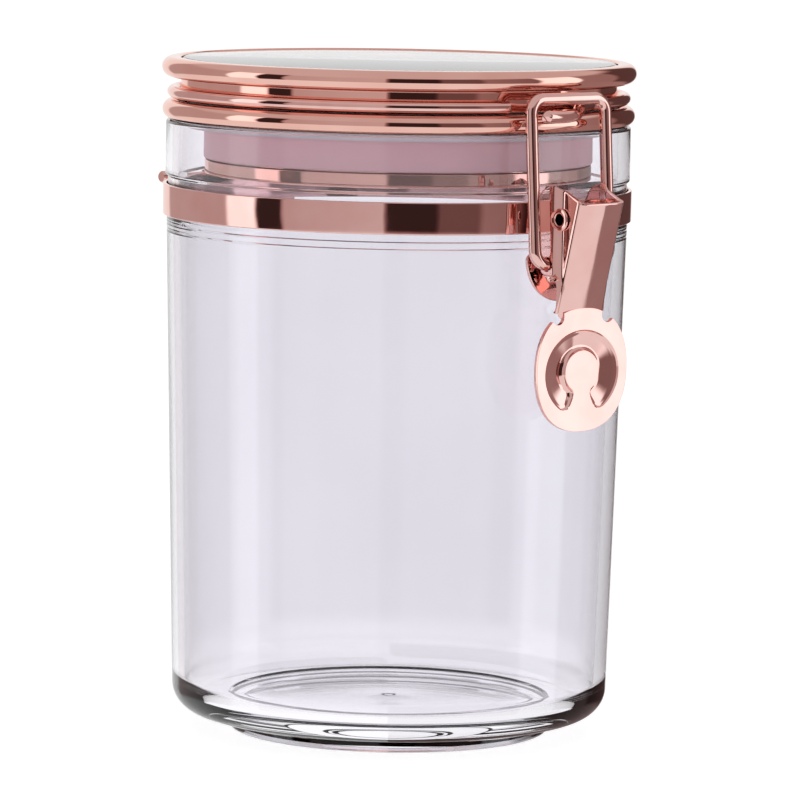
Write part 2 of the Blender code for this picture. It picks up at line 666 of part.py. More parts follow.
def make_seal(parts):
    """Silicone seal around the plug: a sleeve on its waist and a lip towards the mouth."""
    top_z = LID_BOTTOM_Z - CLEARANCE
    bottom_z = top_z - SEAL_DEPTH
    sleeve_z = LID_BOTTOM_Z - PLUG_DEPTH + PLUG_FOOT + CLEARANCE
    outer_r = NECK_BORE_R - SEAL_SQUEEZE_GAP
    inner_r = PLUG_WAIST_R + CLEARANCE
    sleeve_r = inner_r + SLEEVE_WALL
    profile = [
        (outer_r - 1.4, top_z),
        (outer_r - 1.4, top_z - 1.6),
        (outer_r, top_z - 2.6),
        (outer_r, bottom_z + 1.2),
        (outer_r - 0.8, bottom_z),
        (sleeve_r, bottom_z),
        (sleeve_r, sleeve_z),
        (inner_r, sleeve_z),
        (inner_r, top_z),
    ]
    return turned("lid_seal", profile, parts, silicone("seal_silicone"))


def ring_wire_path():
    """The lid's open wire ring; its right end runs out under the bail and turns up as a hook."""
    gap_deg = math.degrees(math.asin(RING_END_X / RING_WIRE_CENTRE_R))
    start = -90 - gap_deg
    sweep = 360 - 2 * gap_deg
    path = []
    steps = 84
    for x, y in arc((0, 0), RING_WIRE_CENTRE_R, start, start - sweep, steps):
        path.append(Vector((x, y, RING_WIRE_Z)))
    under_bar = BAIL_TOP[1] - 2 * WIRE_R - HOOK_CLEARANCE
    reach = BAIL_TOP[0]
    hook = [
        path.pop(),
        (HOOK_ENTRY_X, -(reach - 4.3), RING_WIRE_Z - 0.05),
        (HOOK_ENTRY_X * 0.685, -(reach - 2.5), RING_WIRE_Z - 0.35),
        (HOOK_ENTRY_X * 0.348, -(reach - 0.6), under_bar + 0.25),
        (0.0, -(reach + 1.1), under_bar),
        (-HOOK_ENTRY_X * 0.37, -(reach + 1.9), under_bar - 0.1),
        (-HOOK_ENTRY_X * 0.696, -(reach + 2.3), under_bar),
        (-HOOK_ENTRY_X * 0.967, -(reach + 2.4), under_bar + 0.15),
    ]
    return path + smooth_path(hook, 3)


def make_ring_wire(parts):
    return wire("lid_ring_wire", ring_wire_path(), WIRE_R, parts, plated_steel("ring_wire_plating"))


# Rear hinge ---------------------------------------------------------------------------------

def make_hinge_bracket(parts, cutters):
    """Rear bracket: a curved plate on the band with two rolled knuckles for the hinge wire."""
    half_deg = math.degrees(math.asin(HINGE_PLATE_HALF_WIDTH / PLATE_OUTER_R))
    outline = arc((0, 0), PLATE_OUTER_R, 90 + half_deg, 90 - half_deg, 12)
    outline += arc((0, 0), PLATE_INNER_R, 90 - half_deg, 90 + half_deg, 12)
    height = PLATE_TOP_Z - HINGE_PLATE_BOTTOM_Z
    level = Matrix.Translation((0, 0, (HINGE_PLATE_BOTTOM_Z + height / 2) * MM))
    bracket = sheet("hinge_bracket", outline, height, level, parts, plated_steel("hinge_bracket_plating"))
    inner_x = LINK_LEG_X + WIRE_R + CLEARANCE
    width = HINGE_PLATE_HALF_WIDTH - inner_x - 0.2
    root_r = math.sqrt(PLATE_INNER_R ** 2 - inner_x ** 2) + 0.1
    rod_r, rod_z = HINGE_ROD
    knuckle = [(root_r, HINGE_PLATE_BOTTOM_Z + 1.0)]
    knuckle += arc(HINGE_ROD, KNUCKLE_R, -50, 150, 14)
    knuckle.append((root_r, rod_z - 0.6))
    for side, name in ((-1, "left"), (1, "right")):
        x = side * (inner_x + width / 2)
        combine(bracket, sheet("knuckle_" + name, knuckle, width, rear_plane(x), cutters), "UNION", cutters)
        hole = outwards("hinge_rivet_hole_" + name, PLATE_RIVET_R + CLEARANCE, side * HINGE_RIVET_X,
                        hinge_rivet_z(), PLATE_INNER_R - 2, PLATE_OUTER_R + 2, cutters, side=1)
        combine(bracket, hole, "DIFFERENCE", cutters)
    bore = across("rod_bore", KNUCKLE_BORE_R, HINGE_ROD_HALF_LENGTH, HINGE_ROD, cutters, side=1)
    combine(bracket, bore, "DIFFERENCE", cutters)
    return bracket


def hinge_rivet_z():
    return (BAND_BOTTOM_Z + BAND_TOP_Z) / 2 - 0.2


def make_rear_link(parts):
    """Hinge wire: two feet through the knuckles, two legs, and a top bar that the lid turns on."""
    rod_r, rod_z = HINGE_ROD
    corners = [
        (-HINGE_ROD_HALF_LENGTH, rod_r, rod_z),
        (-LINK_LEG_X, rod_r, rod_z),
        (-LINK_LEG_X, HINGE_PIN_R, HINGE_PIN_Z),
        (LINK_LEG_X, HINGE_PIN_R, HINGE_PIN_Z),
        (LINK_LEG_X, rod_r, rod_z),
        (HINGE_ROD_HALF_LENGTH, rod_r, rod_z),
    ]
    path = rounded_path(corners, LINK_CORNER_R, 5)
    return wire("rear_link_wire", path, WIRE_R, parts, plated_steel("link_plating"))


def make_hinge_clip(parts, cutters):
    """Sheet clip of the lid: it wraps the hinge wire's top bar and its tongue lies on the ring wire."""
    half_width = LINK_LEG_X - LINK_CORNER_R - CLIP_SIDE_GAP
    tongue_bottom = RING_WIRE_Z + WIRE_R + CLEARANCE
    tongue_top = tongue_bottom + KNUCKLE_SHEET
    pin = (HINGE_PIN_R, HINGE_PIN_Z)
    root_deg = math.degrees(math.asin((tongue_bottom - HINGE_PIN_Z) / KNUCKLE_R))
    outline = arc(pin, KNUCKLE_R, 100, -180 - root_deg, 26)
    inner_y = RING_WIRE_CENTRE_R - 0.9
    outline += [(inner_y, tongue_bottom), (inner_y, tongue_top)]
    outline += [(HINGE_PIN_R - 0.6, tongue_top)]
    clip = sheet("hinge_clip", outline, 2 * half_width, rear_plane(0), parts, plated_steel("clip_plating"))
    bore = across("clip_bore", KNUCKLE_BORE_R, half_width + 1, pin, cutters, side=1)
    combine(clip, bore, "DIFFERENCE", cutters)
    return clip


def main():
    clear_scene()
    parts = make_collection("food_canister")
    cutters = make_collection("cutters")
    make_jar(parts)
    make_collar(parts)
    make_band(parts)
    make_bracket(parts, cutters)
    make_lever_rivet(parts, cutters)
    plate_z = (BAND_BOTTOM_Z + PLATE_TOP_Z) / 2
    across_x = (-BRACKET_RIVET_X, BRACKET_RIVET_X)
    for rivet, head in make_plate_rivets("bracket", across_x, plate_z, -1, PLATE_OUTER_R, parts):
        combine(rivet, head, "UNION", cutters)
    lever_pivot = make_pivot("lever_pivot", (0, -LEVER_PIVOT[0], LEVER_PIVOT[1]), parts)
    hang_on(lever_pivot, make_lever(parts, cutters))
    bail_pivot = make_pivot("bail_pivot", (0, -BAIL_PIVOT[0], BAIL_PIVOT[1]), parts, lever_pivot)
    hang_on(bail_pivot, make_bail(parts))
    make_hinge_bracket(parts, cutters)
    across_x = (-HINGE_RIVET_X, HINGE_RIVET_X)
    for rivet, head in make_plate_rivets("hinge", across_x, hinge_rivet_z(), 1, PLATE_OUTER_R, parts):
        combine(rivet, head, "UNION", cutters)
    link_pivot = make_pivot("link_pivot", (0, HINGE_ROD[0], HINGE_ROD[1]), parts)
    hang_on(link_pivot, make_rear_link(parts))
    lid_pivot = make_pivot("lid_pivot", (0, HINGE_PIN_R, HINGE_PIN_Z), parts, link_pivot)
    hang_on(lid_pivot, make_lid_rim(parts), make_lid_top(parts), make_plug(parts), make_seal(parts),
            make_ring_wire(parts), make_hinge_clip(parts, cutters))


main()
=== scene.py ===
import json
import math

import bmesh
import bpy
from mathutils import Matrix, Vector


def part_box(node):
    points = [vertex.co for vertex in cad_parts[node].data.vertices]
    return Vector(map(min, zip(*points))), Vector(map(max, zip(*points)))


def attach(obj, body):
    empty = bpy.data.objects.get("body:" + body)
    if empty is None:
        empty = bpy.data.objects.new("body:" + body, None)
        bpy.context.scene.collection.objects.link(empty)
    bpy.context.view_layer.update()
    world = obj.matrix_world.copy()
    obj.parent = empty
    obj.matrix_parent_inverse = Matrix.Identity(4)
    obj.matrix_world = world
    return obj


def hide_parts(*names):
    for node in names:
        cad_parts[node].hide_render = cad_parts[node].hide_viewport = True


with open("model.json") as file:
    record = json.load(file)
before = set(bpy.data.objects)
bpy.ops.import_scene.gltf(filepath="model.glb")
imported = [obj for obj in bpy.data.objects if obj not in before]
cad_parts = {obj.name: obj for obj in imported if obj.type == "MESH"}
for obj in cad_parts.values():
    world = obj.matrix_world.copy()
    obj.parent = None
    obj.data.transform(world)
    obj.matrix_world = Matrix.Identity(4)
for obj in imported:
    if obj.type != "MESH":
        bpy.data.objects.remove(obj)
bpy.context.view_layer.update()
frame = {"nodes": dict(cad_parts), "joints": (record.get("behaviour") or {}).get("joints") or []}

# Everything below is drawn in millimetres and put into metres at the end
mm = 0.001
pieceGap = 0.3
print("frame loaded:", len(frame["nodes"]), "nodes")


def nodeBox(name):
    low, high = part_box(name)
    return low / mm, high / mm


def newMesh(name, points, faces, edges=()):
    mesh = bpy.data.meshes.new(name)
    mesh.from_pydata([Vector(p) * mm for p in points], list(edges), faces)
    mesh.update()
    return mesh


def newObject(name, mesh, material=None):
    obj = bpy.data.objects.new(name, mesh)
    bpy.context.scene.collection.objects.link(obj)
    if material:
        mesh.materials.append(material)
    return obj


def arcPoints(centre, radius, startDeg, endDeg, steps):
    points = []
    for i in range(steps + 1):
        a = math.radians(startDeg + (endDeg - startDeg) * i / steps)
        points.append((centre[0] + radius * math.cos(a), centre[1] + radius * math.sin(a)))
    return points


# corners are (x, y) or (x, y, rounding); every rounded corner becomes a short arc
def softened(corners, closed=True, stepDeg=9.0):
    points = []
    count = len(corners)
    for i, corner in enumerate(corners):
        here = Vector(corner[:2])
        rounding = corner[2] if len(corner) > 2 else 0.0
        atEnd = not closed and i in (0, count - 1)
        if rounding <= 0 or atEnd:
            points.append(tuple(here))
            continue
        back = Vector(corners[i - 1][:2]) - here
        ahead = Vector(corners[(i + 1) % count][:2]) - here
        into, out = -back.normalized(), ahead.normalized()
        turn = into.angle(out)
        if turn < 0.02:
            points.append(tuple(here))
            continue
        reach = min(rounding * math.tan(turn / 2), 0.49 * back.length, 0.49 * ahead.length)
        radius = reach / math.tan(turn / 2)
        start = here - into * reach
        side = 1 if into.x * out.y - into.y * out.x > 0 else -1
        centre = start + Vector((-into.y, into.x)) * side * radius
        steps = max(2, round(math.degrees(turn) / stepDeg))
        for k in range(steps + 1):
            swing = Matrix.Rotation(side * turn * k / steps, 2)
            points.append(tuple(centre + swing @ (start - centre)))
    return points


def newMaterial(name):
    material = bpy.data.materials.new(name)
    material.use_nodes = True
    tree = material.node_tree
    return material, tree, tree.nodes["Principled BSDF"]


def addNode(tree, kind, **settings):
    node = tree.nodes.new(kind)
    for key, value in settings.items():
        setattr(node, key, value)
    return node


def mathNode(tree, operation, a, b=None):
    node = tree.nodes.new("ShaderNodeMath")
    node.operation = operation
    for socket, value in zip(node.inputs, (a, b)):
        if value is None:
            continue
        if isinstance(value, (int, float)):
            socket.default_value = value
        else:
            tree.links.new(value, socket)
    return node.outputs[0]


# height above the foot's plane, from Object coordinates
def heightOf(tree):
    coords = addNode(tree, "ShaderNodeTexCoord")
    parts = addNode(tree, "ShaderNodeSeparateXYZ")
    tree.links.new(coords.outputs["Object"], parts.inputs[0])
    return parts.outputs["Z"]


# noise on Object coordinates, stretched by a Mapping node
def noiseOn(tree, size, detail=3.0, stretch=(1, 1, 1), roughness=0.5):
    coords = addNode(tree, "ShaderNodeTexCoord")
    mapping = addNode(tree, "ShaderNodeMapping")
    mapping.inputs["Scale"].default_value = stretch
    noise = addNode(tree, "ShaderNodeTexNoise")
    noise.inputs["Scale"].default_value = 1.0 / size
    noise.inputs["Detail"].default_value = detail
    noise.inputs["Roughness"].default_value = roughness
    tree.links.new(coords.outputs["Object"], mapping.inputs["Vector"])
    tree.links.new(mapping.outputs["Vector"], noise.inputs["Vector"])
    return noise


def rangeOf(tree, source, low, high, fromLow=0.3, fromHigh=0.7):
    node = addNode(tree, "ShaderNodeMapRange")
    node.inputs["From Min"].default_value = fromLow
    node.inputs["From Max"].default_value = fromHigh
    node.inputs["To Min"].default_value = low
    node.inputs["To Max"].default_value = high
    tree.links.new(source, node.inputs["Value"])
    return node.outputs["Result"]


def mixedColour(tree, share, first, second):
    node = addNode(tree, "ShaderNodeMix", data_type="RGBA")
    tree.links.new(share, node.inputs["Factor"])
    for socket, colour in ((node.inputs["A"], first), (node.inputs["B"], second)):
        if isinstance(colour, tuple):
            socket.default_value = (*colour, 1)
        else:
            tree.links.new(colour, socket)
    return node.outputs["Result"]


def twoTone(tree, source, dark, light, fromLow=0.35, fromHigh=0.65):
    ramp = addNode(tree, "ShaderNodeValToRGB")
    ramp.color_ramp.elements[0].position = fromLow
    ramp.color_ramp.elements[0].color = (*dark, 1)
    ramp.color_ramp.elements[1].position = fromHigh
    ramp.color_ramp.elements[1].color = (*light, 1)
    tree.links.new(source, ramp.inputs["Fac"])
    return ramp.outputs["Color"]


def bumpFrom(tree, source, depth, below=None):
    bump = addNode(tree, "ShaderNodeBump")
    bump.inputs["Strength"].default_value = 1.0
    bump.inputs["Distance"].default_value = depth
    tree.links.new(source, bump.inputs["Height"])
    if below:
        tree.links.new(below, bump.inputs["Normal"])
    return bump.outputs["Normal"]


# Mirror plating: a slow colour drift, faint wipe marks in the gloss and a very shallow ripple
def roseGold(name, look):
    material, tree, shader = newMaterial(name)
    drift = noiseOn(tree, look["driftSize"] * mm, 2.0)
    colour = twoTone(tree, drift.outputs["Fac"], look["deep"], look["light"])
    tree.links.new(colour, shader.inputs["Base Color"])
    wipes = noiseOn(tree, look["wipeSize"] * mm, 4.0, look["wipeStretch"], 0.6)
    gloss = rangeOf(tree, wipes.outputs["Fac"], look["roughLow"], look["roughHigh"])
    tree.links.new(gloss, shader.inputs["Roughness"])
    ripple = noiseOn(tree, look["rippleSize"] * mm, 1.0)
    normal = bumpFrom(tree, ripple.outputs["Fac"], look["rippleDepth"] * mm)
    hairs = noiseOn(tree, look["hairSize"] * mm, 2.0, look["hairStretch"], 0.7)
    normal = bumpFrom(tree, hairs.outputs["Fac"], look["hairDepth"] * mm, normal)
    tree.links.new(normal, shader.inputs["Normal"])
    shader.inputs["Metallic"].default_value = 1.0
    shader.inputs["Specular Tint"].default_value = (1.0, 0.93, 0.90, 1)
    return material


sheetPlating = {
    "light": (0.92, 0.60, 0.555), "deep": (0.89, 0.55, 0.505), "driftSize": 9.0,
    "wipeSize": 2.2, "wipeStretch": (1, 1, 0.35), "roughLow": 0.02, "roughHigh": 0.065,
    "rippleSize": 5.0, "rippleDepth": 0.012,
    "hairSize": 0.35, "hairStretch": (1, 1, 0.12), "hairDepth": 0.0004,
}
mouldedPlating = {
    "light": (0.93, 0.57, 0.49), "deep": (0.89, 0.515, 0.44), "driftSize": 14.0,
    "wipeSize": 3.0, "wipeStretch": (1, 1, 2.5), "roughLow": 0.015, "roughHigh": 0.05,
    "rippleSize": 7.0, "rippleDepth": 0.010, "hairSize": 0.5, "hairStretch": (1, 1, 5), "hairDepth": 0.0003,
}
wirePlating = {
    "light": (0.92, 0.60, 0.55), "deep": (0.88, 0.54, 0.49), "driftSize": 6.0,
    "wipeSize": 1.2, "wipeStretch": (1, 1, 0.5), "roughLow": 0.03, "roughHigh": 0.09,
    "rippleSize": 2.4, "rippleDepth": 0.008, "hairSize": 0.25, "hairStretch": (1, 1, 1), "hairDepth": 0.0006,
}


# Clear moulded acrylic: a lavender cast, paler at base and neck as painted light that lightens the shade seen
# through the glass there, flow ripple, fine handling marks
def clearAcrylic(name, look):
    material, tree, shader = newMaterial(name)
    cloud = noiseOn(tree, look["cloudSize"] * mm, 2.0)
    colour = twoTone(tree, cloud.outputs["Fac"], look["deep"], look["light"])
    height = heightOf(tree)
    # painted light: the tint turns paler towards the base and above the neck, lightening the shade seen
    # through the glass
    aboveBase = rangeOf(tree, height, 0.0, 1.0, look["baseFrom"] * mm, look["baseTo"] * mm)
    belowNeck = rangeOf(tree, height, 1.0, 0.0, look["neckFrom"] * mm, look["neckTo"] * mm)
    outsidePaintedPaleEnds = mathNode(tree, "MULTIPLY", aboveBase, belowNeck)
    tree.links.new(mixedColour(tree, outsidePaintedPaleEnds, look["base"], colour), shader.inputs["Base Color"])
    marks = noiseOn(tree, look["markSize"] * mm, 5.0, (1, 1, 0.3), 0.65)
    gloss = rangeOf(tree, marks.outputs["Fac"], look["roughLow"], look["roughHigh"], 0.45, 0.75)
    tree.links.new(gloss, shader.inputs["Roughness"])
    flow = noiseOn(tree, look["flowSize"] * mm, 1.0, (1, 1, 0.22))
    normal = bumpFrom(tree, flow.outputs["Fac"], look["flowDepth"] * mm)
    tree.links.new(normal, shader.inputs["Normal"])
    shader.inputs["Transmission Weight"].default_value = 1.0
    shader.inputs["IOR"].default_value = look["ior"]
    return material


# in the jar, the base and neck entries hold painted light: a paler tint that lightens the shade seen through
# the glass there
jarAcrylic = {
    "light": (0.865, 0.852, 0.897), "deep": (0.845, 0.831, 0.877), "cloudSize": 45.0, "ior": 1.47,
    "base": (0.955, 0.94, 0.98), "baseFrom": 12.0, "baseTo": 20.0, "neckFrom": 122.0, "neckTo": 128.0,
    "markSize": 4.0, "roughLow": 0.0, "roughHigh": 0.03, "flowSize": 16.0, "flowDepth": 0.02,
}
lidAcrylic = {
    "light": (0.95, 0.885, 0.94), "deep": (0.93, 0.865, 0.925), "cloudSize": 40.0, "ior": 1.47,
    "base": (0.95, 0.885, 0.94), "baseFrom": 12.0, "baseTo": 20.0, "neckFrom": 400.0, "neckTo": 410.0,
    "markSize": 5.0, "roughLow": 0.01, "roughHigh": 0.05, "flowSize": 20.0, "flowDepth": 0.01,
}


# Soft seal: milky rubber with a fine skin; its thin sleeve lets the plating show through
def milkySilicone(name, look):
    material, tree, shader = newMaterial(name)
    cloud = noiseOn(tree, look["cloudSize"] * mm, 3.0)
    colour = twoTone(tree, cloud.outputs["Fac"], look["deep"], look["light"])
    skin = noiseOn(tree, look["skinSize"] * mm, 4.0)
    roughness = rangeOf(tree, skin.outputs["Fac"], look["roughLow"], look["roughHigh"])
    tree.links.new(roughness, shader.inputs["Roughness"])
    tree.links.new(bumpFrom(tree, skin.outputs["Fac"], look["skinDepth"] * mm), shader.inputs["Normal"])
    lip = rangeOf(tree, heightOf(tree), 0.0, 1.0, look["lipFrom"] * mm, look["lipTo"] * mm)
    tree.links.new(mixedColour(tree, lip, look["sleeve"], colour), shader.inputs["Base Color"])
    tree.links.new(rangeOf(tree, lip, look["sleeveShine"], 0.0, 0.0, 1.0), shader.inputs["Metallic"])
    return material


sealSilicone = {
    "light": (0.94, 0.90, 0.93), "deep": (0.90, 0.85, 0.89), "cloudSize": 8.0,
    "skinSize": 0.5, "skinDepth": 0.01, "roughLow": 0.38, "roughHigh": 0.5,
    "sleeve": (1.0, 0.62, 0.67), "sleeveShine": 0.1, "lipFrom": 139.3, "lipTo": 140.0,
}

jarClear = clearAcrylic("clearJarAcrylic", jarAcrylic)
lidClear = clearAcrylic("clearLidAcrylic", lidAcrylic)
sheetGold = roseGold("platedSheet", sheetPlating)
mouldedGold = roseGold("platedMoulding", mouldedPlating)
wireGold = roseGold("platedWire", wirePlating)
sealMilky = milkySilicone("milkySilicone", sealSilicone)
print("materials made")


def newTree(name, sockets):
    tree = bpy.data.node_groups.new(name, "GeometryNodeTree")
    tree.interface.new_socket("Geometry", in_out="INPUT", socket_type="NodeSocketGeometry")
    for label, kind in sockets:
        tree.interface.new_socket(label, in_out="INPUT", socket_type=kind)
    tree.interface.new_socket("Geometry", in_out="OUTPUT", socket_type="NodeSocketGeometry")
    return tree, tree.nodes.new("NodeGroupInput"), tree.nodes.new("NodeGroupOutput")


# A profile of points (x = radius, z = height) carried round the jar's axis on a grid
def makeTurnTree():
    tree, given, result = newTree("turnedProfile", [
        ("Segments", "NodeSocketInt"), ("Rows", "NodeSocketInt"), ("Weld", "NodeSocketFloat"),
        ("Finish", "NodeSocketMaterial")])
    link = tree.links.new
    size = tree.nodes.new("GeometryNodeAttributeDomainSize")
    link(given.outputs["Geometry"], size.inputs["Geometry"])
    columns = mathNode(tree, "ADD", given.outputs["Segments"], 1)
    grid = tree.nodes.new("GeometryNodeMeshGrid")
    link(columns, grid.inputs["Vertices X"])
    link(given.outputs["Rows"], grid.inputs["Vertices Y"])
    index = tree.nodes.new("GeometryNodeInputIndex").outputs[0]
    along = mathNode(tree, "DIVIDE", mathNode(tree, "ADD", index, 0.5), given.outputs["Rows"])
    column = mathNode(tree, "FLOOR", along)
    row = mathNode(tree, "SUBTRACT", index, mathNode(tree, "MULTIPLY", column, given.outputs["Rows"]))
    spot = mathNode(tree, "MODULO", row, size.outputs["Point Count"])
    sample = tree.nodes.new("GeometryNodeSampleIndex")
    sample.data_type = "FLOAT_VECTOR"
    link(given.outputs["Geometry"], sample.inputs["Geometry"])
    link(tree.nodes.new("GeometryNodeInputPosition").outputs[0], sample.inputs["Value"])
    link(spot, sample.inputs["Index"])
    split = tree.nodes.new("ShaderNodeSeparateXYZ")
    link(sample.outputs["Value"], split.inputs[0])
    wrapped = mathNode(tree, "MODULO", column, given.outputs["Segments"])
    share = mathNode(tree, "DIVIDE", wrapped, given.outputs["Segments"])
    angle = mathNode(tree, "MULTIPLY", share, 2 * math.pi)
    place = tree.nodes.new("ShaderNodeCombineXYZ")
    link(mathNode(tree, "MULTIPLY", split.outputs["X"], mathNode(tree, "COSINE", angle)), place.inputs["X"])
    link(mathNode(tree, "MULTIPLY", split.outputs["X"], mathNode(tree, "SINE", angle)), place.inputs["Y"])
    link(split.outputs["Z"], place.inputs["Z"])
    move = tree.nodes.new("GeometryNodeSetPosition")
    link(grid.outputs["Mesh"], move.inputs["Geometry"])
    link(place.outputs[0], move.inputs["Position"])
    finishTree(tree, move.outputs[0], given, result)
    return tree


# A round wire along a path; the path's own "thin" attribute tapers the cut ends
def makeWireTree():
    tree, given, result = newTree("bentWire", [
        ("Radius", "NodeSocketFloat"), ("Sides", "NodeSocketInt"), ("Weld", "NodeSocketFloat"),
        ("Finish", "NodeSocketMaterial")])
    link = tree.links.new
    curve = tree.nodes.new("GeometryNodeMeshToCurve")
    link(given.outputs["Geometry"], curve.inputs["Mesh"])
    thin = tree.nodes.new("GeometryNodeInputNamedAttribute")
    thin.data_type = "FLOAT"
    thin.inputs["Name"].default_value = "thin"
    section = tree.nodes.new("GeometryNodeCurvePrimitiveCircle")
    link(given.outputs["Sides"], section.inputs["Resolution"])
    link(given.outputs["Radius"], section.inputs["Radius"])
    sweep = tree.nodes.new("GeometryNodeCurveToMesh")
    link(curve.outputs[0], sweep.inputs["Curve"])
    link(section.outputs["Curve"], sweep.inputs["Profile Curve"])
    link(thin.outputs["Attribute"], sweep.inputs["Scale"])
    sweep.inputs["Fill Caps"].default_value = True
    finishTree(tree, sweep.outputs[0], given, result)
    return tree


# The same small piece at every point, turned to face along the point's "facing" attribute
def makeScatterTree():
    tree, given, result = newTree("plateRivets", [
        ("Rivet", "NodeSocketObject"), ("Finish", "NodeSocketMaterial")])
    link = tree.links.new
    info = tree.nodes.new("GeometryNodeObjectInfo")
    link(given.outputs["Rivet"], info.inputs["Object"])
    facing = tree.nodes.new("GeometryNodeInputNamedAttribute")
    facing.data_type = "FLOAT_VECTOR"
    facing.inputs["Name"].default_value = "facing"
    turn = tree.nodes.new("FunctionNodeAlignRotationToVector")
    turn.axis = "Z"
    link(facing.outputs["Attribute"], turn.inputs["Vector"])
    points = tree.nodes.new("GeometryNodeInstanceOnPoints")
    link(given.outputs["Geometry"], points.inputs["Points"])
    link(info.outputs["Geometry"], points.inputs["Instance"])
    link(turn.outputs["Rotation"], points.inputs["Rotation"])
    finishTree(tree, points.outputs[0], given, result)
    return tree


# welds where the tree has a weld distance, then makes instances real and gives the material
def finishTree(tree, source, given, result):
    if "Weld" in given.outputs:
        weld = tree.nodes.new("GeometryNodeMergeByDistance")
        tree.links.new(source, weld.inputs["Geometry"])
        tree.links.new(given.outputs["Weld"], weld.inputs["Distance"])
        source = weld.outputs[0]
    real = tree.nodes.new("GeometryNodeRealizeInstances")
    finish = tree.nodes.new("GeometryNodeSetMaterial")
    tree.links.new(source, real.inputs[0])
    tree.links.new(real.outputs[0], finish.inputs["Geometry"])
    tree.links.new(given.outputs["Finish"], finish.inputs["Material"])
    tree.links.new(finish.outputs[0], result.inputs[0])


turnTree = makeTurnTree()
wireTree = makeWireTree()
scatterTree = makeScatterTree()


# Runs a tree on a start mesh and keeps what it makes as a plain mesh
def grown(name, start, tree, **inputs):
    seed = newObject(name + "Start", start)
    modifier = seed.modifiers.new("nodes", "NODES")
    modifier.node_group = tree
    keys = {item.name: item.identifier for item in tree.interface.items_tree if item.in_out == "INPUT"}
    for label, value in inputs.items():
        modifier[keys[label]] = value
    bpy.context.view_layer.update()
    graph = bpy.context.evaluated_depsgraph_get()
    mesh = bpy.data.meshes.new_from_object(seed.evaluated_get(graph))
    seed.modifiers.clear()
    bpy.data.objects.remove(seed)
    mesh.name = name
    return mesh


# closes doubles, turns faces outwards and smooths everything but real edges
def tidied(mesh, sharpDeg=42, recalc=True, weld=0.00005):
    work = bmesh.new()
    work.from_mesh(mesh)
    if weld:
        bmesh.ops.remove_doubles(work, verts=work.verts, dist=weld * mm)
    if recalc:
        bmesh.ops.recalc_face_normals(work, faces=work.faces)
    work.to_mesh(mesh)
    work.free()
    mesh.shade_smooth()
    mesh.set_sharp_from_angle(angle=math.radians(sharpDeg))
    return mesh


def bakedModifiers(obj):
    graph = bpy.context.evaluated_depsgraph_get()
    mesh = bpy.data.meshes.new_from_object(obj.evaluated_get(graph))
    obj.modifiers.clear()
    old = obj.data
    obj.data = mesh
    mesh.name = obj.name
    bpy.data.meshes.remove(old)
    return obj


def settle(obj, body, nodes):
    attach(obj, body)
    if nodes:
        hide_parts(*nodes)
    return obj


# profile points are (radius, height); an open profile starts and ends on the axis
def turnedPiece(name, profile, material, segments=256, closed=True, sharpDeg=42):
    start = newMesh(name, [(r, 0, z) for r, z in profile], [])
    mesh = grown(name, start, turnTree, Segments=segments, Rows=len(profile) + (1 if closed else 0),
                 Weld=0.000002, Finish=material)
    return newObject(name, tidied(mesh, sharpDeg))


# a wire along a path, its cut ends chamfered
def wirePiece(name, path, radius, material, sides=28, chamfer=0.35):
    points = [Vector(p) for p in path]
    head, tail = points[0], points[-1]
    first = (points[1] - head).normalized()
    last = (points[-2] - tail).normalized()
    points = [head, head + first * chamfer] + points[1:-1] + [tail + last * chamfer, tail]
    cut = 1 - chamfer / radius * 0.8
    thin = [cut] + [1.0] * (len(points) - 2) + [cut]
    start = newMesh(name, points, [], [(i, i + 1) for i in range(len(points) - 1)])
    scale = start.attributes.new("thin", "FLOAT", "POINT")
    scale.data.foreach_set("value", thin)
    mesh = grown(name, start, wireTree, Radius=radius * mm, Sides=sides, Weld=0.000001, Finish=material)
    return newObject(name, tidied(mesh, 35))


# a flat outline (x, y) with thickness, laid into a plane by a matrix in millimetres, edges softened
def platePiece(name, outline, thickness, place, material, edge=0.2):
    work = bmesh.new()
    work.faces.new([work.verts.new((x, y, 0)) for x, y in outline])
    for face in work.faces:
        if face.normal.z < 0:
            face.normal_flip()
    made = bmesh.ops.extrude_face_region(work, geom=list(work.faces))
    lifted = [v for v in made["geom"] if isinstance(v, bmesh.types.BMVert)]
    bmesh.ops.translate(work, verts=lifted, vec=(0, 0, thickness))
    bmesh.ops.translate(work, verts=work.verts, vec=(0, 0, -thickness / 2))
    bmesh.ops.recalc_face_normals(work, faces=work.faces)
    if edge:
        rim = [e for e in work.edges if len(e.link_faces) == 2 and e.calc_face_angle(0) > math.radians(60)
               and abs(e.verts[0].co.z - e.verts[1].co.z) < 1e-6]
        bmesh.ops.bevel(work, geom=rim, offset=edge, segments=3, profile=0.5, affect="EDGES",
                        clamp_overlap=True)
    bmesh.ops.transform(work, matrix=place, verts=work.verts)
    bmesh.ops.scale(work, vec=(mm, mm, mm), verts=work.verts)
    mesh = bpy.data.meshes.new(name)
    work.to_mesh(mesh)
    work.free()
    return newObject(name, tidied(mesh, 30), material)


# outline (distance towards the latch, height) standing across X
def sideways(x):
    return Matrix(((0, 0, 1, x), (-1, 0, 0, 0), (0, 1, 0, 0), (0, 0, 0, 1)))


# the same towards the hinge
def sidewaysRear(x):
    return Matrix(((0, 0, 1, x), (1, 0, 0, 0), (0, 1, 0, 0), (0, 0, 0, 1)))


# outline (x, up) facing the latch side at a distance from the axis
def facingFront(distance):
    return Matrix(((1, 0, 0, 0), (0, 0, -1, -distance), (0, 1, 0, 0), (0, 0, 0, 1)))


def roundBar(name, radius, length, sides, axis, place):
    mesh = bpy.data.meshes.new(name)
    work = bmesh.new()
    bmesh.ops.create_cone(work, cap_ends=True, segments=sides, radius1=radius * mm, radius2=radius * mm,
                          depth=length * mm)
    bmesh.ops.rotate(work, verts=work.verts, matrix=Matrix.Rotation(math.radians(90), 3, axis))
    bmesh.ops.translate(work, verts=work.verts, vec=[value * mm for value in place])
    work.to_mesh(mesh)
    work.free()
    return newObject(name, mesh)


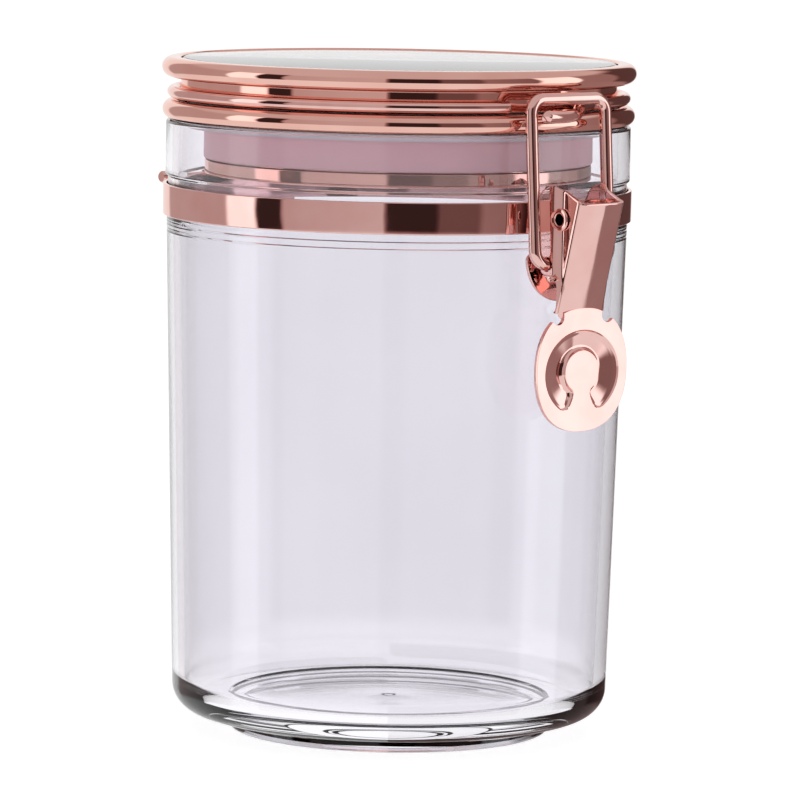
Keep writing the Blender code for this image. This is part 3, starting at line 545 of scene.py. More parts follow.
def barAcross(name, radius, halfLength, distance, height):
    return roundBar(name, radius, 2 * halfLength, 48, "Y", (0, -distance, height))


def barOut(name, radius, x, height, near, far):
    return roundBar(name, radius, abs(far - near), 40, "X", (x, -(near + far) / 2, height))


def carve(obj, others, operation):
    for other in others:
        cut = obj.modifiers.new(other.name, "BOOLEAN")
        cut.operation = operation
        cut.object = other
        cut.solver = "EXACT"
    bakedModifiers(obj)
    for other in others:
        bpy.data.objects.remove(other)
    return obj


def roundedPath(points, radius, steps):
    corners = [Vector(p) for p in points]
    path = [corners[0]]
    for before, corner, after in zip(corners, corners[1:], corners[2:]):
        into = (corner - before).normalized()
        out = (after - corner).normalized()
        turn = into.angle(out)
        reach = radius * math.tan(turn / 2)
        start = corner - into * reach
        centre = corner + (out - into).normalized() * radius / math.cos(turn / 2)
        for i in range(steps + 1):
            path.append(centre + Matrix.Rotation(turn * i / steps, 3, into.cross(out)) @ (start - centre))
    path.append(corners[-1])
    return path


def smoothPath(points, steps):
    knots = [Vector(p) for p in points]
    knots = [2 * knots[0] - knots[1]] + knots + [2 * knots[-1] - knots[-2]]
    path = []
    for a, b, c, d in zip(knots, knots[1:], knots[2:], knots[3:]):
        for i in range(steps):
            t = i / steps
            path.append(0.5 * (2 * b + (c - a) * t + (2 * a - 5 * b + 4 * c - d) * t * t
                               + (3 * b - a - 3 * c + d) * t ** 3))
    path.append(knots[-2])
    return path


jarShape = {
    "landInset": 2.1, "bandGroove": 0.2,
    "wall": 2.8, "floorZ": 7.6, "neckR": 53.6, "bodyTopR": 53.2, "bodyLowR": 50.7, "cornerR": 13.6,
    "footZ": 3.8, "footRim": 3.2, "recess": 0.8, "hairlines": (117.3, 115.7), "hairlineDepth": 0.16,
    "floorStep": 0.5, "gateR": 1.3,
}


def makeJar():
    s = jarShape
    top = nodeBox("jar")[1].z
    bandLow, bandHigh = nodeBox("neck_band")[0].z, nodeBox("neck_band")[1].z
    collarLow = nodeBox("jar_collar_ring")[0].z
    collarR = nodeBox("jar_collar_ring")[1].x
    landR = collarR - s["landInset"]
    grooveR = s["bodyTopR"] - s["bandGroove"]
    baseR = s["bodyLowR"] - s["cornerR"]
    shoulderZ = bandLow - 0.9
    boreR = s["neckR"] - s["wall"]
    slope = (s["bodyTopR"] - s["bodyLowR"]) / (shoulderZ - s["footZ"] - s["cornerR"])

    def bodyR(z):
        return s["bodyTopR"] - slope * (shoulderZ - z)

    inside = [
        (0.0, s["floorZ"] + 0.25), (s["gateR"], s["floorZ"] + 0.2, 0.3), (s["gateR"] + 0.5, s["floorZ"], 0.4),
        (baseR - 0.6, s["floorZ"], 0.6), (baseR, s["floorZ"] + s["floorStep"], 0.5),
        (bodyR(s["floorZ"]) - s["wall"], s["floorZ"] + s["floorStep"], s["cornerR"] - s["wall"]),
        (s["bodyTopR"] - s["wall"], shoulderZ, 2.0),
        (boreR, bandHigh + 3.6, 2.0),
        (boreR, top, 0.5),
    ]
    outside = [
        (landR, top, 0.3),
        (landR, collarLow - 0.3, 0.15),
        (s["neckR"], collarLow - 0.3, 0.5),
        (s["neckR"], bandHigh + 2.1, 0.5),
        (grooveR, bandHigh + 1.6, 0.3),
        (grooveR, bandLow - 0.3, 0.15),
        (s["bodyTopR"], shoulderZ, 0.3),
    ]
    for z in s["hairlines"]:
        outside += [
            (bodyR(z + 0.3), z + 0.3, 0.2), (bodyR(z) - s["hairlineDepth"], z, 0.15),
            (bodyR(z - 0.3), z - 0.3, 0.2),
        ]
    outside += [
        (bodyR(60.0), 60.0), (bodyR(s["footZ"]), s["footZ"], s["cornerR"]),
        (baseR, s["footZ"], 0.6), (baseR, 0.0, 0.7), (baseR - s["footRim"], 0.0, 0.3),
        (baseR - s["footRim"] - s["recess"], s["recess"], 0.4), (0.0, s["recess"]),
    ]
    profile = softened(inside + outside, closed=False, stepDeg=5)
    jar = turnedPiece("clearJar", profile, jarClear, 256, closed=False)
    return settle(jar, "jar_body", ["jar"])


ringShape = {
    "collarBulge": 2.25, "collarWall": 1.8, "rimBulge": 2.3, "beadHeight": 4.6, "lip": 1.0, "lipReach": 0.4,
    "bandSheet": 0.8,
}


def halfRound(outer, low, high, bulge, steps=22):
    middle, half = (low + high) / 2, (high - low) / 2
    spots = arcPoints((0, 0), 1.0, 90, -90, steps)
    return [(outer - bulge + bulge * x, middle + half * y) for x, y in spots]


def makeCollar():
    low, high = nodeBox("jar_collar_ring")
    outer = high.x
    lipR = jarShape["neckR"] - jarShape["wall"] + ringShape["lipReach"]
    inner, underLip = outer - ringShape["collarWall"], high.z - ringShape["lip"]
    middle = (low.z + high.z) / 2
    bead = [spot for spot in halfRound(outer, low.z, high.z, ringShape["collarBulge"])
            if spot[0] > inner or spot[1] > middle]
    corners = [(lipR, high.z, 0.35)] + bead
    corners += [(inner, low.z, 0.1), (inner, underLip, 0.1), (lipR, underLip, 0.35)]
    collar = turnedPiece("collarBead", softened(corners), mouldedGold)
    return settle(collar, "jar_body", ["jar_collar_ring"])


def makeBand():
    low, high = nodeBox("neck_band")
    outer, inner = high.x, high.x - ringShape["bandSheet"]
    corners = [(outer, high.z, 0.25), (outer, low.z, 0.25), (inner, low.z, 0.15), (inner, high.z, 0.15)]
    band = turnedPiece("neckBand", softened(corners, stepDeg=22), sheetGold)
    return settle(band, "jar_body", ["neck_band"])


def makeRim():
    low, high = nodeBox("lid_rim_ring")
    outer = high.x
    seatR = nodeBox("lid_top_plate")[1].x + pieceGap
    shelfZ = nodeBox("lid_top_plate")[0].z - pieceGap
    beadZ = high.z - ringShape["beadHeight"]
    coreR = nodeBox("lid_ring_wire")[1].x - 2 * wireShape["radius"] - pieceGap
    boreR = nodeBox("lid_plug")[1].x + pieceGap
    corners = [
        (seatR, high.z - 0.3, 0.15), (seatR + 0.5, high.z, 0.3),
        *halfRound(outer, beadZ, high.z, ringShape["rimBulge"]),
        (coreR, beadZ, 0.3), (coreR, low.z, 0.3), (boreR, low.z, 0.3), (boreR, shelfZ, 0.15),
        (seatR, shelfZ, 0.15),
    ]
    rim = turnedPiece("lidRim", softened(corners), mouldedGold)
    return settle(rim, "lid", ["lid_rim_ring"])


def makeLidTop():
    low, high = nodeBox("lid_top_plate")
    outer = high.x
    corners = [
        (0.0, high.z), (outer - 0.5, high.z, 0.2), (outer, high.z - 0.4, 0.2), (outer, low.z, 0.2),
        (0.0, low.z),
    ]
    top = turnedPiece("clearLidTop", softened(corners, closed=False), lidClear, 192, closed=False)
    return settle(top, "lid", ["lid_top_plate"])


plugShape = {"wall": 1.6, "sleeveWall": 1.42, "foot": 3.3, "lipHeight": 6.2}


def makePlug():
    low, high = nodeBox("lid_plug")
    outer, wall = high.x, plugShape["wall"]
    waist = outer - plugShape["sleeveWall"]
    bore = waist - wall
    waistTop = nodeBox("lid_rim_ring")[0].z
    waistLow = low.z + plugShape["foot"]
    corners = [
        (0.0, low.z + wall), (bore, low.z + wall, 2.2), (bore, high.z, 0.3), (outer, high.z, 0.2),
        (outer, waistTop, 0.1), (waist, waistTop, 0.1), (waist, waistLow, 0.1), (outer, waistLow, 0.25),
        (outer, low.z, 0.5), (outer - 9.0, low.z, 0.4), (outer - 9.6, low.z + 0.35, 0.4), (0.0, low.z + 0.35),
    ]
    plug = turnedPiece("lidPlug", softened(corners, closed=False), mouldedGold, 192, closed=False)
    return settle(plug, "lid", ["lid_plug"])


def makeSeal():
    low, high = nodeBox("lid_seal")
    outer = high.x
    inner = nodeBox("lid_plug")[1].x - plugShape["sleeveWall"] + pieceGap
    sleeve = inner + plugShape["sleeveWall"]
    lipZ = high.z - plugShape["lipHeight"]
    corners = [
        (inner, high.z, 0.2), (outer - 1.4, high.z, 0.4), (outer - 1.4, high.z - 1.6, 0.3),
        (outer, high.z - 2.6, 0.5), (outer - 0.3, lipZ + 3.2, 0.6), (outer - 1.1, lipZ + 2.6, 0.4),
        (outer, lipZ + 2.0, 0.4), (outer, lipZ + 1.2, 0.5), (outer - 0.9, lipZ, 0.5), (sleeve, lipZ, 1.2),
        (sleeve, low.z, 0.4), (inner, low.z, 0.2),
    ]
    seal = turnedPiece("lidSeal", softened(corners, stepDeg=15), sealMilky, 192)
    return settle(seal, "lid", ["lid_seal"])


wireShape = {
    "radius": 1.42, "bailCorner": 3.2, "linkCorner": 2.2, "ringR": 52.0, "ringEndX": 12.3, "hookClear": 0.95,
}
pivots = {joint["name"]: Vector(joint["pos_m"]) / mm for joint in frame["joints"]}


def makeRingWire():
    r = wireShape["radius"]
    ringZ = pivots["lid_open"].z
    barZ = nodeBox("bail")[1].z - r
    barY = bailShape["topDistance"]
    opening = math.degrees(math.asin(wireShape["ringEndX"] / wireShape["ringR"]))
    start = -90 - opening
    ring = arcPoints((0, 0), wireShape["ringR"], start, start - (360 - 2 * opening), 220)
    path = [Vector((x, y, ringZ)) for x, y in ring]
    under = barZ - 2 * r - wireShape["hookClear"]
    hook = [
        path.pop(),
        (9.2, -(barY - 4.3), ringZ - 0.05), (6.3, -(barY - 2.5), ringZ - 0.35),
        (3.2, -(barY - 0.6), under + 0.25),
        (0.0, -(barY + 1.1), under), (-3.4, -(barY + 1.9), under - 0.1), (-6.4, -(barY + 2.3), under),
        (-8.9, -(barY + 2.4), under + 0.15),
    ]
    wire = wirePiece("lidRingWire", path + smoothPath(hook, 8), r, wireGold)
    return settle(wire, "lid", ["lid_ring_wire"])


bailShape = {"topDistance": 56.5, "halfWidth": 11.3, "footIn": 5.15}


def makeBail():
    r = wireShape["radius"]
    foot = pivots["bail_swing"]
    topZ = nodeBox("bail")[1].z - r
    half, inner = bailShape["halfWidth"], bailShape["footIn"]
    corners = [
        (-inner, foot.y, foot.z), (-half, foot.y, foot.z), (-half, -bailShape["topDistance"], topZ),
        (half, -bailShape["topDistance"], topZ), (half, foot.y, foot.z), (inner, foot.y, foot.z),
    ]
    wire = wirePiece("bailWire", roundedPath(corners, wireShape["bailCorner"], 12), r, wireGold)
    return settle(wire, "bail_wire", ["bail"])


linkShape = {"legX": 7.0, "rodHalf": 21.8}


def makeRearLink():
    rod, pin = pivots["hinge_wire_swing"], pivots["lid_open"]
    leg, half = linkShape["legX"], linkShape["rodHalf"]
    corners = [
        (-half, rod.y, rod.z), (-leg, rod.y, rod.z), (-leg, pin.y, pin.z),
        (leg, pin.y, pin.z), (leg, rod.y, rod.z), (half, rod.y, rod.z),
    ]
    path = roundedPath(corners, wireShape["linkCorner"], 12)
    wire = wirePiece("rearLinkWire", path, wireShape["radius"], wireGold)
    return settle(wire, "hinge_wire", ["rear_link_wire"])


# Latch lever: a bent channel with joggled side walls, and a thumb disc with a sunk crescent
leverShape = {
    "halfWidth": 6.75, "sheet": 1.0, "bend": 1.5, "faceTop": (69.2, 126.7), "faceFoot": (62.2, 100.6),
    "jogFrom": 63.2, "jogTo": 60.4, "jog": 1.15, "crownFoot": 0.04, "crownTop": 0.34,
    "rear": [(61.6, 102.0), (61.8, 106.0), (61.6, 109.0), (60.5, 110.5), (59.0, 110.35), (57.3, 111.0),
             (56.45, 112.7), (56.3, 114.5), (55.9, 117.5), (55.4, 121.0), (55.0, 124.2), (55.5, 126.7),
             (56.9, 128.9), (58.9, 130.1), (60.9, 130.4)],
    "discCentreZ": 89.2, "discWidth": 27.5, "discHeight": 27.6, "discFullness": 2.3, "discFront": 62.9,
    "notchR": 1.9, "notchX": 7.6, "notchUp": 12.2,
    "crescentOuter": (11.3, 9.7, -0.7), "crescentInner": (5.1, 4.7, -0.4), "crescentStart": -66.0,
    "crescentEnd": 246.0, "crescentStep": 0.38, "crescentDish": 0.16, "crescentEdge": 0.32,
    "hornRound": 1.9,
}


def resampled(points, count):
    lengths = [0.0]
    for a, b in zip(points, points[1:]):
        lengths.append(lengths[-1] + (Vector(b) - Vector(a)).length)
    made, k = [], 0
    for i in range(count):
        target = lengths[-1] * i / (count - 1)
        while k < len(points) - 2 and lengths[k + 1] < target:
            k += 1
        t = (target - lengths[k]) / max(lengths[k + 1] - lengths[k], 1e-9)
        made.append(Vector(points[k]).lerp(Vector(points[k + 1]), t))
    return made


def jogAt(r):
    s = leverShape
    t = min(max((s["jogFrom"] - r) / (s["jogFrom"] - s["jogTo"]), 0), 1)
    return s["jog"] * t * t * (3 - 2 * t)


def makeChannelMesh():
    s = leverShape
    rows = 60
    rear = resampled(smoothRear(), rows)
    foot, top = Vector(s["faceFoot"]), Vector(s["faceTop"])
    wallSteps, bendSteps, faceSteps = 22, 6, 12
    half, bend = s["halfWidth"], s["bend"]
    points, faces = [], []
    for j in range(rows):
        v = j / (rows - 1)
        crown = s["crownFoot"] + (s["crownTop"] - s["crownFoot"]) * v
        front = foot.lerp(top, v) - Vector((crown, 0))
        back = rear[j]
        side = []
        for i in range(wallSteps):
            stop = 1 - bend / (front - back).length
            spot = back.lerp(front, i / wallSteps * stop)
            side.append((half + jogAt(spot.x), spot))
        for i in range(bendSteps + 1):
            a = math.radians(90 * i / bendSteps)
            spot = front.lerp(back, (1 - math.sin(a)) * bend / (front - back).length)
            side.append((half - bend * (1 - math.cos(a)), spot))
        faceRow = []
        for i in range(1, faceSteps):
            x = (half - bend) * (1 - 2 * i / faceSteps)
            bulge = crown * (1 - (x / (half - bend)) ** 2)
            faceRow.append((x, front + Vector((bulge, 0))))
        row = side + faceRow + [(-x, spot) for x, spot in reversed(side)]
        points += [(x, -spot.x, spot.y) for x, spot in row]
        width = len(row)
    for j in range(rows - 1):
        for i in range(width - 1):
            a = j * width + i
            faces.append((a, a + width, a + width + 1, a + 1))
    return newMesh("leverChannel", points, faces)


def smoothRear():
    flat = [(r, z, 0) for r, z in leverShape["rear"]]
    return [(p.x, p.y) for p in smoothPath(flat, 6)]


def makeChannel():
    channel = newObject("leverChannel", makeChannelMesh(), sheetGold)
    work = bmesh.new()
    work.from_mesh(channel.data)
    work.normal_update()
    lean = sum((f.normal.y for f in work.faces if abs(f.normal.y) > 0.8), 0)
    if lean > 0:
        bmesh.ops.reverse_faces(work, faces=work.faces)
    work.to_mesh(channel.data)
    work.free()
    shell = channel.modifiers.new("sheet", "SOLIDIFY")
    shell.thickness = leverShape["sheet"] * mm
    shell.offset = -1
    edge = channel.modifiers.new("edge", "BEVEL")
    edge.width = 0.16 * mm
    edge.segments = 2
    edge.limit_method = "ANGLE"
    edge.angle_limit = math.radians(60)
    bakedModifiers(channel)
    return channel


# Rings run from the island's middle through both crescent edges to the rim, so each edge stays crisp
def makeDisc():
    s = leverShape
    around = 264
    outX, outZ, outUp = s["crescentOuter"]
    inX, inZ, inUp = s["crescentInner"]
    halfW, halfH = s["discWidth"] / 2, s["discHeight"] / 2
    ringsIn = [0.0, 0.35, 0.7, 0.9, 0.97, 1.0]
    band = [0.0, 0.02, 0.045, 0.07, 0.1] + [0.1 + 0.8 * i / 14 for i in range(1, 15)]
    band += [0.93, 0.955, 0.98, 1.0]
    ringsOut = [0.06, 0.3, 0.6, 0.9, 1.0]
    hornMid = math.radians((s["crescentStart"] + s["crescentEnd"]) / 2)
    hornHalf = math.radians((s["crescentEnd"] - s["crescentStart"]) / 2)

    def height(angle, q, inner, outer):
        gap = (outer - inner).length / 2
        mid = (inner + outer) / 2
        away = abs(math.remainder(angle - hornMid, 2 * math.pi))
        along = (hornHalf - away) * mid.length
        across = (q - 0.5) * 2 * gap
        rounding = s["hornRound"]
        qx, qy = rounding - along, abs(across) - gap + rounding
        depthIn = rounding - math.hypot(max(qx, 0), max(qy, 0)) - min(max(qx, qy), 0)
        if depthIn <= 0:
            return 0.0
        t = min(depthIn / s["crescentEdge"], 1.0)
        dish = s["crescentDish"] * (gap - across) * min(depthIn, 1.0)
        return -(s["crescentStep"] * t * t * (3 - 2 * t)) - dish

    columns = []
    for i in range(around):
        a = 2 * math.pi * i / around
        ray = Vector((math.cos(a), math.sin(a)))
        inner = Vector((inX * ray.x, inUp + inZ * ray.y))
        outer = Vector((outX * ray.x, outUp + outZ * ray.y))
        power = s["discFullness"]
        fuller = (abs(ray.x) ** power + abs(ray.y) ** power) ** (-1 / power)
        rim = Vector((halfW * ray.x, halfH * ray.y)) * fuller
        column = [(inner * q + Vector((0, inUp)) * (1 - q), 0.0) for q in ringsIn[1:]]
        column += [(inner.lerp(outer, q), height(a, q, inner, outer)) for q in band[1:]]
        column += [(outer.lerp(rim, q), 0.0) for q in ringsOut]
        columns.append(column)
    deep = len(columns[0])
    points = [(0.0, -s["discFront"], s["discCentreZ"] + inUp)]
    for column in columns:
        points += [(p.x, -s["discFront"] - h, s["discCentreZ"] + p.y) for p, h in column]
    faces = []
    for i in range(around):
        a, b = 1 + i * deep, 1 + ((i + 1) % around) * deep
        faces.append((0, a, b))
        for k in range(deep - 1):
            faces.append((a + k, a + k + 1, b + k + 1, b + k))
    disc = newObject("thumbDisc", newMesh("thumbDisc", points, faces), sheetGold)
    work = bmesh.new()
    work.from_mesh(disc.data)
    work.normal_update()
    if sum(f.normal.y for f in work.faces) > 0:
        bmesh.ops.reverse_faces(work, faces=work.faces)
    work.to_mesh(disc.data)
    work.free()
    shell = disc.modifiers.new("sheet", "SOLIDIFY")
    shell.thickness = s["sheet"] * mm
    shell.offset = -1
    edge = disc.modifiers.new("edge", "BEVEL")
    edge.width = 0.22 * mm
    edge.segments = 3
    edge.limit_method = "ANGLE"
    edge.angle_limit = math.radians(60)
    return bakedModifiers(disc)


def makeLever():
    s = leverShape
    pivot, foot = pivots["lever_turn"], pivots["bail_swing"]
    channel = makeChannel()
    disc = makeDisc()
    cuts = []
    for side in (-1, 1):
        cuts.append(barOut("notch", s["notchR"], side * s["notchX"], s["discCentreZ"] + s["notchUp"],
                           s["discFront"] - 4, s["discFront"] + 4))
    carve(disc, cuts, "DIFFERENCE")
    bores = (("rivetBore", rivetShape["tubeR"], pivot), ("bailBore", wireShape["radius"], foot))
    for name, radius, at in bores:
        carve(channel, [barAcross(name, radius + pieceGap, 12, -at.y, at.z)], "DIFFERENCE")
    tidied(channel.data, 35, recalc=False, weld=0)
    tidied(disc.data, 35, recalc=False, weld=0)
    carve(channel, [disc], "UNION")
    channel.name = "latchLever"
    tidied(channel.data, 35, recalc=False, weld=0.0005)
    return settle(channel, "lever_arm", ["lever"])


bracketShape = {
    "halfWidth": 10.2, "footZ": 104.0, "shoulder": 3.0, "belowBand": 0.4, "sheet": 1.0, "edge": 0.16,
    "earOuter": 5.45, "earR": 3.2, "overlap": 0.3, "plateIn": 54.4, "plateOut": 55.2,
    "reliefX": 3.2, "reliefUp": 6.2, "reliefR": 0.9,
}


def makeBracket():
    s = bracketShape
    pivot = pivots["lever_turn"]
    topZ = nodeBox("neck_band")[1].z - s["belowBand"]
    centreZ = s["footZ"] + s["halfWidth"]
    neckZ = centreZ + s["shoulder"]
    ear = s["earOuter"]
    outline = [(ear, topZ, 0.6), (-ear, topZ, 0.6), (-ear, neckZ, 2.0), (-s["halfWidth"], centreZ, 1.5)]
    outline += arcPoints((0, centreZ), s["halfWidth"], 190, 350, 40)
    outline += [(s["halfWidth"], centreZ, 1.5), (ear, neckZ, 2.0)]
    middle = (s["plateIn"] + s["plateOut"]) / 2
    plate = platePiece("latchBracket", softened(outline), s["plateOut"] - s["plateIn"], facingFront(middle),
                       sheetGold, s["edge"])
    reliefZ = s["footZ"] + s["reliefUp"]
    cuts = [barOut("relief", s["reliefR"], side * s["reliefX"], reliefZ, s["plateIn"] - 1, s["plateOut"] + 1)
            for side in (-1, 1)]
    carve(plate, cuts, "DIFFERENCE")
    root = s["plateOut"] - s["overlap"]
    side = [(root, neckZ + 1.0)] + arcPoints((-pivot.y, pivot.z), s["earR"], -80, 80, 24) + [(root, topZ)]
    earX = ear - s["sheet"] / 2
    ears = [platePiece("ear", side, s["sheet"] - 0.02, sideways(way * earX), sheetGold, s["edge"])
            for way in (-1, 1)]
    carve(plate, ears, "UNION")
    bore = rivetShape["tubeR"] + pieceGap
    carve(plate, [barAcross("earBore", bore, 9, -pivot.y, pivot.z)], "DIFFERENCE")
    tidied(plate.data, 30, recalc=False, weld=0)
    return settle(plate, "jar_body", ["latch_bracket"])


rivetShape = {
    "tubeR": 1.9, "boreR": 1.3, "headR": 2.55, "headHeight": 0.5,
    "domeR": 1.8, "domeHeight": 0.7, "shankR": 1.1, "shankDepth": 1.2,
}


def makeLeverRivet():
    s = rivetShape
    pivot = pivots["lever_turn"]
    half = nodeBox("lever_pivot_rivet")[1].x
    neck = half - s["headHeight"]
    head = [
        (s["boreR"], half - 0.1, 0.35), (s["boreR"] + 0.5, half, 0.3), (s["headR"], half - 0.12, 0.3),
        (s["headR"], neck, 0.1), (s["tubeR"], neck, 0.1),
    ]
    corners = head + [(r, -z, rounding) for r, z, rounding in reversed(head)]
    rivet = turnedPiece("leverRivet", softened(corners, stepDeg=18), wireGold, 64)
    place = Matrix.Translation(pivot * mm) @ Matrix.Rotation(math.radians(90), 4, "Y")
    rivet.data.transform(place)
    return settle(rivet, "jar_body", ["lever_pivot_rivet"])


# The small domed rivets of both plates
def makePlateRivets():
    s = rivetShape
    names = ["bracket_rivet_left", "bracket_rivet_right", "hinge_rivet_left", "hinge_rivet_right"]
    r, h, shank, tail = s["domeR"], s["domeHeight"], s["shankR"], -s["shankDepth"]
    corners = [
        (0.0, tail), (shank, tail, 0.1), (shank, 0.0, 0.1),
        (r, 0.0, 0.12), (r, 0.25, 0.15), (r * 0.62, h, 0.9), (0.0, h),
    ]
    dome = turnedPiece("rivetDome", softened(corners, closed=False, stepDeg=12), wireGold, 40, closed=False)
    spots, facing = [], []
    for name in names:
        low, high = nodeBox(name)
        way = -1 if low.y < 0 else 1
        headBase = (high.y if way > 0 else low.y) - way * h
        spots.append(((low.x + high.x) / 2, headBase, (low.z + high.z) / 2))
        facing += [0.0, float(way), 0.0]
    start = newMesh("plateRivets", spots, [])
    start.attributes.new("facing", "FLOAT_VECTOR", "POINT").data.foreach_set("vector", facing)
    mesh = grown("plateRivets", start, scatterTree, Rivet=dome, Finish=wireGold)
    bpy.data.objects.remove(dome)
    rivets = newObject("plateRivets", tidied(mesh, 35))
    return settle(rivets, "jar_body", names)


hingeShape = {"plateHalf": 13.2, "knuckleSheet": 0.8, "clipHalf": 4.4, "clipReach": 0.9, "edge": 0.14}


def makeHingeBracket():
    s, b = hingeShape, bracketShape
    r = wireShape["radius"]
    rod = pivots["hinge_wire_swing"]
    lowZ = nodeBox("hinge_bracket")[0].z
    topZ = nodeBox("neck_band")[1].z - b["belowBand"]
    half = math.degrees(math.asin(s["plateHalf"] / b["plateOut"]))
    outline = arcPoints((0, 0), b["plateOut"], 90 + half, 90 - half, 32)
    outline += arcPoints((0, 0), b["plateIn"], 90 - half, 90 + half, 32)
    level = Matrix.Translation((0, 0, (lowZ + topZ) / 2))
    plate = platePiece("hingeBracket", outline, topZ - lowZ, level, sheetGold, b["edge"])
    bore = r + pieceGap
    outer = bore + s["knuckleSheet"]
    inner = linkShape["legX"] + r + pieceGap
    width = s["plateHalf"] - inner - 0.2
    root = math.sqrt(b["plateIn"] ** 2 - inner ** 2) + 0.1
    side = [(root, lowZ + 1.0)] + arcPoints((rod.y, rod.z), outer, -50, 150, 32) + [(root, rod.z - 0.6)]
    knuckleX = inner + width / 2
    knuckles = [platePiece("knuckle", side, width, sidewaysRear(way * knuckleX), sheetGold, s["edge"])
                for way in (-1, 1)]
    carve(plate, knuckles, "UNION")
    carve(plate, [barAcross("rodBore", bore, 30, -rod.y, rod.z)], "DIFFERENCE")
    tidied(plate.data, 30, recalc=False, weld=0)
    return settle(plate, "jar_body", ["hinge_bracket"])


def makeHingeClip():
    s = hingeShape
    pin = pivots["lid_open"]
    r = wireShape["radius"]
    bore = r + pieceGap
    outer = bore + s["knuckleSheet"]
    tongueLow = pin.z + r + pieceGap
    tongueHigh = tongueLow + s["knuckleSheet"]
    root = math.degrees(math.asin((tongueLow - pin.z) / outer))
    inner = wireShape["ringR"] - s["clipReach"]
    outline = arcPoints((pin.y, pin.z), outer, 100, -180 - root, 44)
    outline += [(inner, tongueLow), (inner, tongueHigh), (pin.y - 0.6, tongueHigh)]
    clip = platePiece("hingeClip", outline, 2 * s["clipHalf"], sidewaysRear(0), sheetGold, s["edge"])
    carve(clip, [barAcross("clipBore", bore, 8, -pin.y, pin.z)], "DIFFERENCE")
    tidied(clip.data, 30, recalc=False, weld=0)
    return settle(clip, "lid", ["hinge_clip"])


makeJar()
makeCollar()
makeBand()
print("jar, collar and band made")
makeRim()
makeLidTop()
makePlug()
makeSeal()
print("lid made")
makeRingWire()
makeBail()
makeRearLink()
print("wires made")
makeLever()
makeBracket()
makeLeverRivet()
makePlateRivets()
print("latch made")
makeHingeBracket()
makeHingeClip()
print("hinge made")


# In the light, degrees run to the right from the camera's own side, and levels are brightness
studio = {
    "cameraAzimuth": -41.8, "cameraDistance": 1.28, "cameraHeight": 0.21917, "aimHeight": 0.07648,
    "aimRight": 0.001446, "lens": 250, "rollDeg": 1.017,
    "floorSize": 12.0, "floorColour": (0.93, 0.93, 0.935), "floorGlow": 0.73, "fill": 0.34,
    "round": [(-180, 0.95), (-152, 0.95), (-148, 0.50), (-93, 0.50), (-90, 1.35), (-74, 1.35), (-72, 0.035),
              (-59, 0.035), (-57, 0.52), (-7, 0.60), (-5, 0.035), (19, 0.035), (21, 0.15), (40, 0.15),
              (43, 0.30), (71, 0.22), (74, 1.45), (97, 1.45), (100, 0.32), (128, 0.30), (134, 0.10),
              (166, 0.10), (170, 0.9), (180, 0.95)],
    "ceilingFrom": 24.0, "ceilingTo": 34.0, "tableFrom": -13.0, "tableTo": -19.0,
    "farFrom": 91.5, "farTo": 92.7,
    "table": 0.88, "tableFar": 0.33, "ceiling": 0.62,
    "throughSoftness": 0.8, "throughLevel": 1.12, "behindSoftness": 0.10,
    "darkCast": (1.0, 0.56, 0.54), "castFrom": 0.12, "castTo": 0.75,
}


def makeFloor():
    side = studio["floorSize"] / 2
    points = [(x * side, y * side, 0) for x, y in ((-1, -1), (1, -1), (1, 1), (-1, 1))]
    mesh = bpy.data.meshes.new("paleFloor")
    mesh.from_pydata(points, [], [(0, 1, 2, 3)])
    material, tree, shader = newMaterial("paleFloor")
    speck = noiseOn(tree, 0.05, 3.0)
    light = studio["floorColour"]
    colour = twoTone(tree, speck.outputs["Fac"], tuple(c * 0.995 for c in light), light)
    tree.links.new(colour, shader.inputs["Base Color"])
    shader.inputs["Roughness"].default_value = 0.9
    shader.inputs["Specular IOR Level"].default_value = 0.0
    shader.inputs["Emission Color"].default_value = (1, 1, 1, 1)
    shader.inputs["Emission Strength"].default_value = studio["floorGlow"]
    floor = newObject("paleFloor", mesh, material)
    floor.visible_glossy = False
    floor.visible_transmission = False


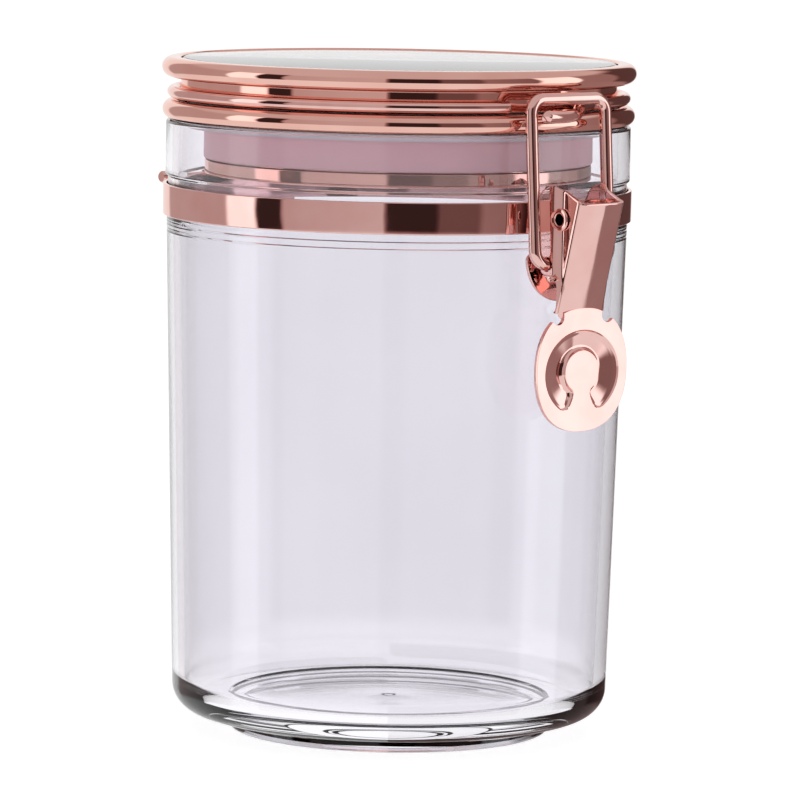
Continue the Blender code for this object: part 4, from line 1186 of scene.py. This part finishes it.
# A soft studio: bright panels and dark flags by direction, a pale table below and a grey ceiling above
def makeStudioLight():
    world = bpy.data.worlds.new("softStudio")
    bpy.context.scene.world = world
    world.use_nodes = True
    tree = world.node_tree
    link = tree.links.new
    back = tree.nodes["Background"]
    back.inputs["Color"].default_value = (1, 1, 1, 1)
    coords = addNode(tree, "ShaderNodeTexCoord")
    split = addNode(tree, "ShaderNodeSeparateXYZ")
    link(coords.outputs["Generated"], split.inputs[0])
    towards = mathNode(tree, "MULTIPLY", split.outputs["Y"], -1.0)
    azimuth = mathNode(tree, "ARCTAN2", split.outputs["X"], towards)
    turned = mathNode(tree, "SUBTRACT", azimuth, math.radians(studio["cameraAzimuth"]) - math.pi)
    share = mathNode(tree, "FRACT", mathNode(tree, "ADD", mathNode(tree, "DIVIDE", turned, 2 * math.pi), 1.0))
    ramp = addNode(tree, "ShaderNodeValToRGB")
    stops = ramp.color_ramp.elements
    while len(stops) > 1:
        stops.remove(stops[-1])
    for i, (degrees, value) in enumerate(studio["round"]):
        position = (degrees + 180) / 360
        stop = stops[0] if i == 0 else stops.new(position)
        stop.position = position
        stop.color = (value / 2, value / 2, value / 2, 1)
    link(share, ramp.inputs["Fac"])
    level = mathNode(tree, "MULTIPLY", ramp.outputs["Color"], 2.0)
    rise = mathNode(tree, "MULTIPLY", mathNode(tree, "ARCSINE", split.outputs["Z"]), 180 / math.pi)

    def stepped(source, start, end, interpolation="SMOOTHSTEP"):
        node = addNode(tree, "ShaderNodeMapRange", interpolation_type=interpolation)
        node.inputs["From Min"].default_value = start
        node.inputs["From Max"].default_value = end
        link(source, node.inputs["Value"])
        return node.outputs["Result"]

    def blended(share, a, b):
        node = addNode(tree, "ShaderNodeMix", data_type="FLOAT")
        for socket, value in ((node.inputs["Factor"], share), (node.inputs["A"], a), (node.inputs["B"], b)):
            if isinstance(value, (int, float)):
                socket.default_value = value
            else:
                link(value, socket)
        return node.outputs["Result"]

    far = stepped(share, (studio["farFrom"] + 180) / 360, (studio["farTo"] + 180) / 360)
    table = blended(far, studio["table"], studio["tableFar"])
    level = blended(stepped(rise, studio["ceilingFrom"], studio["ceilingTo"]), level, studio["ceiling"])
    level = blended(stepped(rise, studio["tableFrom"], studio["tableTo"]), level, table)

    # plating outside the jar sees warm darks, and plating behind the clear wall keeps its contrast
    rays = addNode(tree, "ShaderNodeLightPath")
    mirrored = mathNode(tree, "GREATER_THAN", rays.outputs["Glossy Depth"], 0.5)
    direct = mathNode(tree, "SUBTRACT", 1.0, mirrored)
    manyWalls = mathNode(tree, "GREATER_THAN", rays.outputs["Transmission Depth"], 3.5)
    shallow = mathNode(tree, "SUBTRACT", 1.0, mathNode(tree, "MULTIPLY", mirrored, manyWalls))
    bare = mathNode(tree, "MULTIPLY", rays.outputs["Is Transmission Ray"], shallow)
    cast = stepped(level, studio["castFrom"], studio["castTo"], "LINEAR")
    inside = mathNode(tree, "GREATER_THAN", rays.outputs["Transmission Depth"], 0.5)
    plain = mathNode(tree, "MAXIMUM", cast, mathNode(tree, "MAXIMUM", direct, inside))
    link(mixedColour(tree, plain, studio["darkCast"], (1.0, 1.0, 1.0)), back.inputs["Color"])
    seen = blended(studio["throughSoftness"], level, studio["throughLevel"])
    behind = blended(studio["behindSoftness"], level, studio["throughLevel"])
    level = blended(rays.outputs["Is Transmission Ray"], level, behind)
    level = blended(bare, level, seen)
    level = blended(rays.outputs["Is Diffuse Ray"], level, studio["fill"])
    level = blended(rays.outputs["Is Camera Ray"], level, 1.0)
    link(level, back.inputs["Strength"])


def makeCamera():
    a = math.radians(studio["cameraAzimuth"])
    right = Vector((math.cos(a), math.sin(a), 0))
    spot = Vector((math.sin(a), -math.cos(a), 0)) * studio["cameraDistance"]
    spot += Vector((0, 0, studio["cameraHeight"]))
    aim = right * studio["aimRight"] + Vector((0, 0, studio["aimHeight"]))
    camera = bpy.data.objects.new("camera", bpy.data.cameras.new("camera"))
    bpy.context.scene.collection.objects.link(camera)
    camera.data.lens = studio["lens"]
    camera.data.clip_end = 50
    camera.location = spot
    roll = Matrix.Rotation(math.radians(studio["rollDeg"]), 4, "Z")
    camera.rotation_euler = ((aim - spot).to_track_quat("-Z", "Y").to_matrix().to_4x4() @ roll).to_euler()
    bpy.context.scene.camera = camera


makeFloor()
makeStudioLight()
makeCamera()
bpy.context.scene.view_settings.view_transform = "Standard"
print("studio ready")
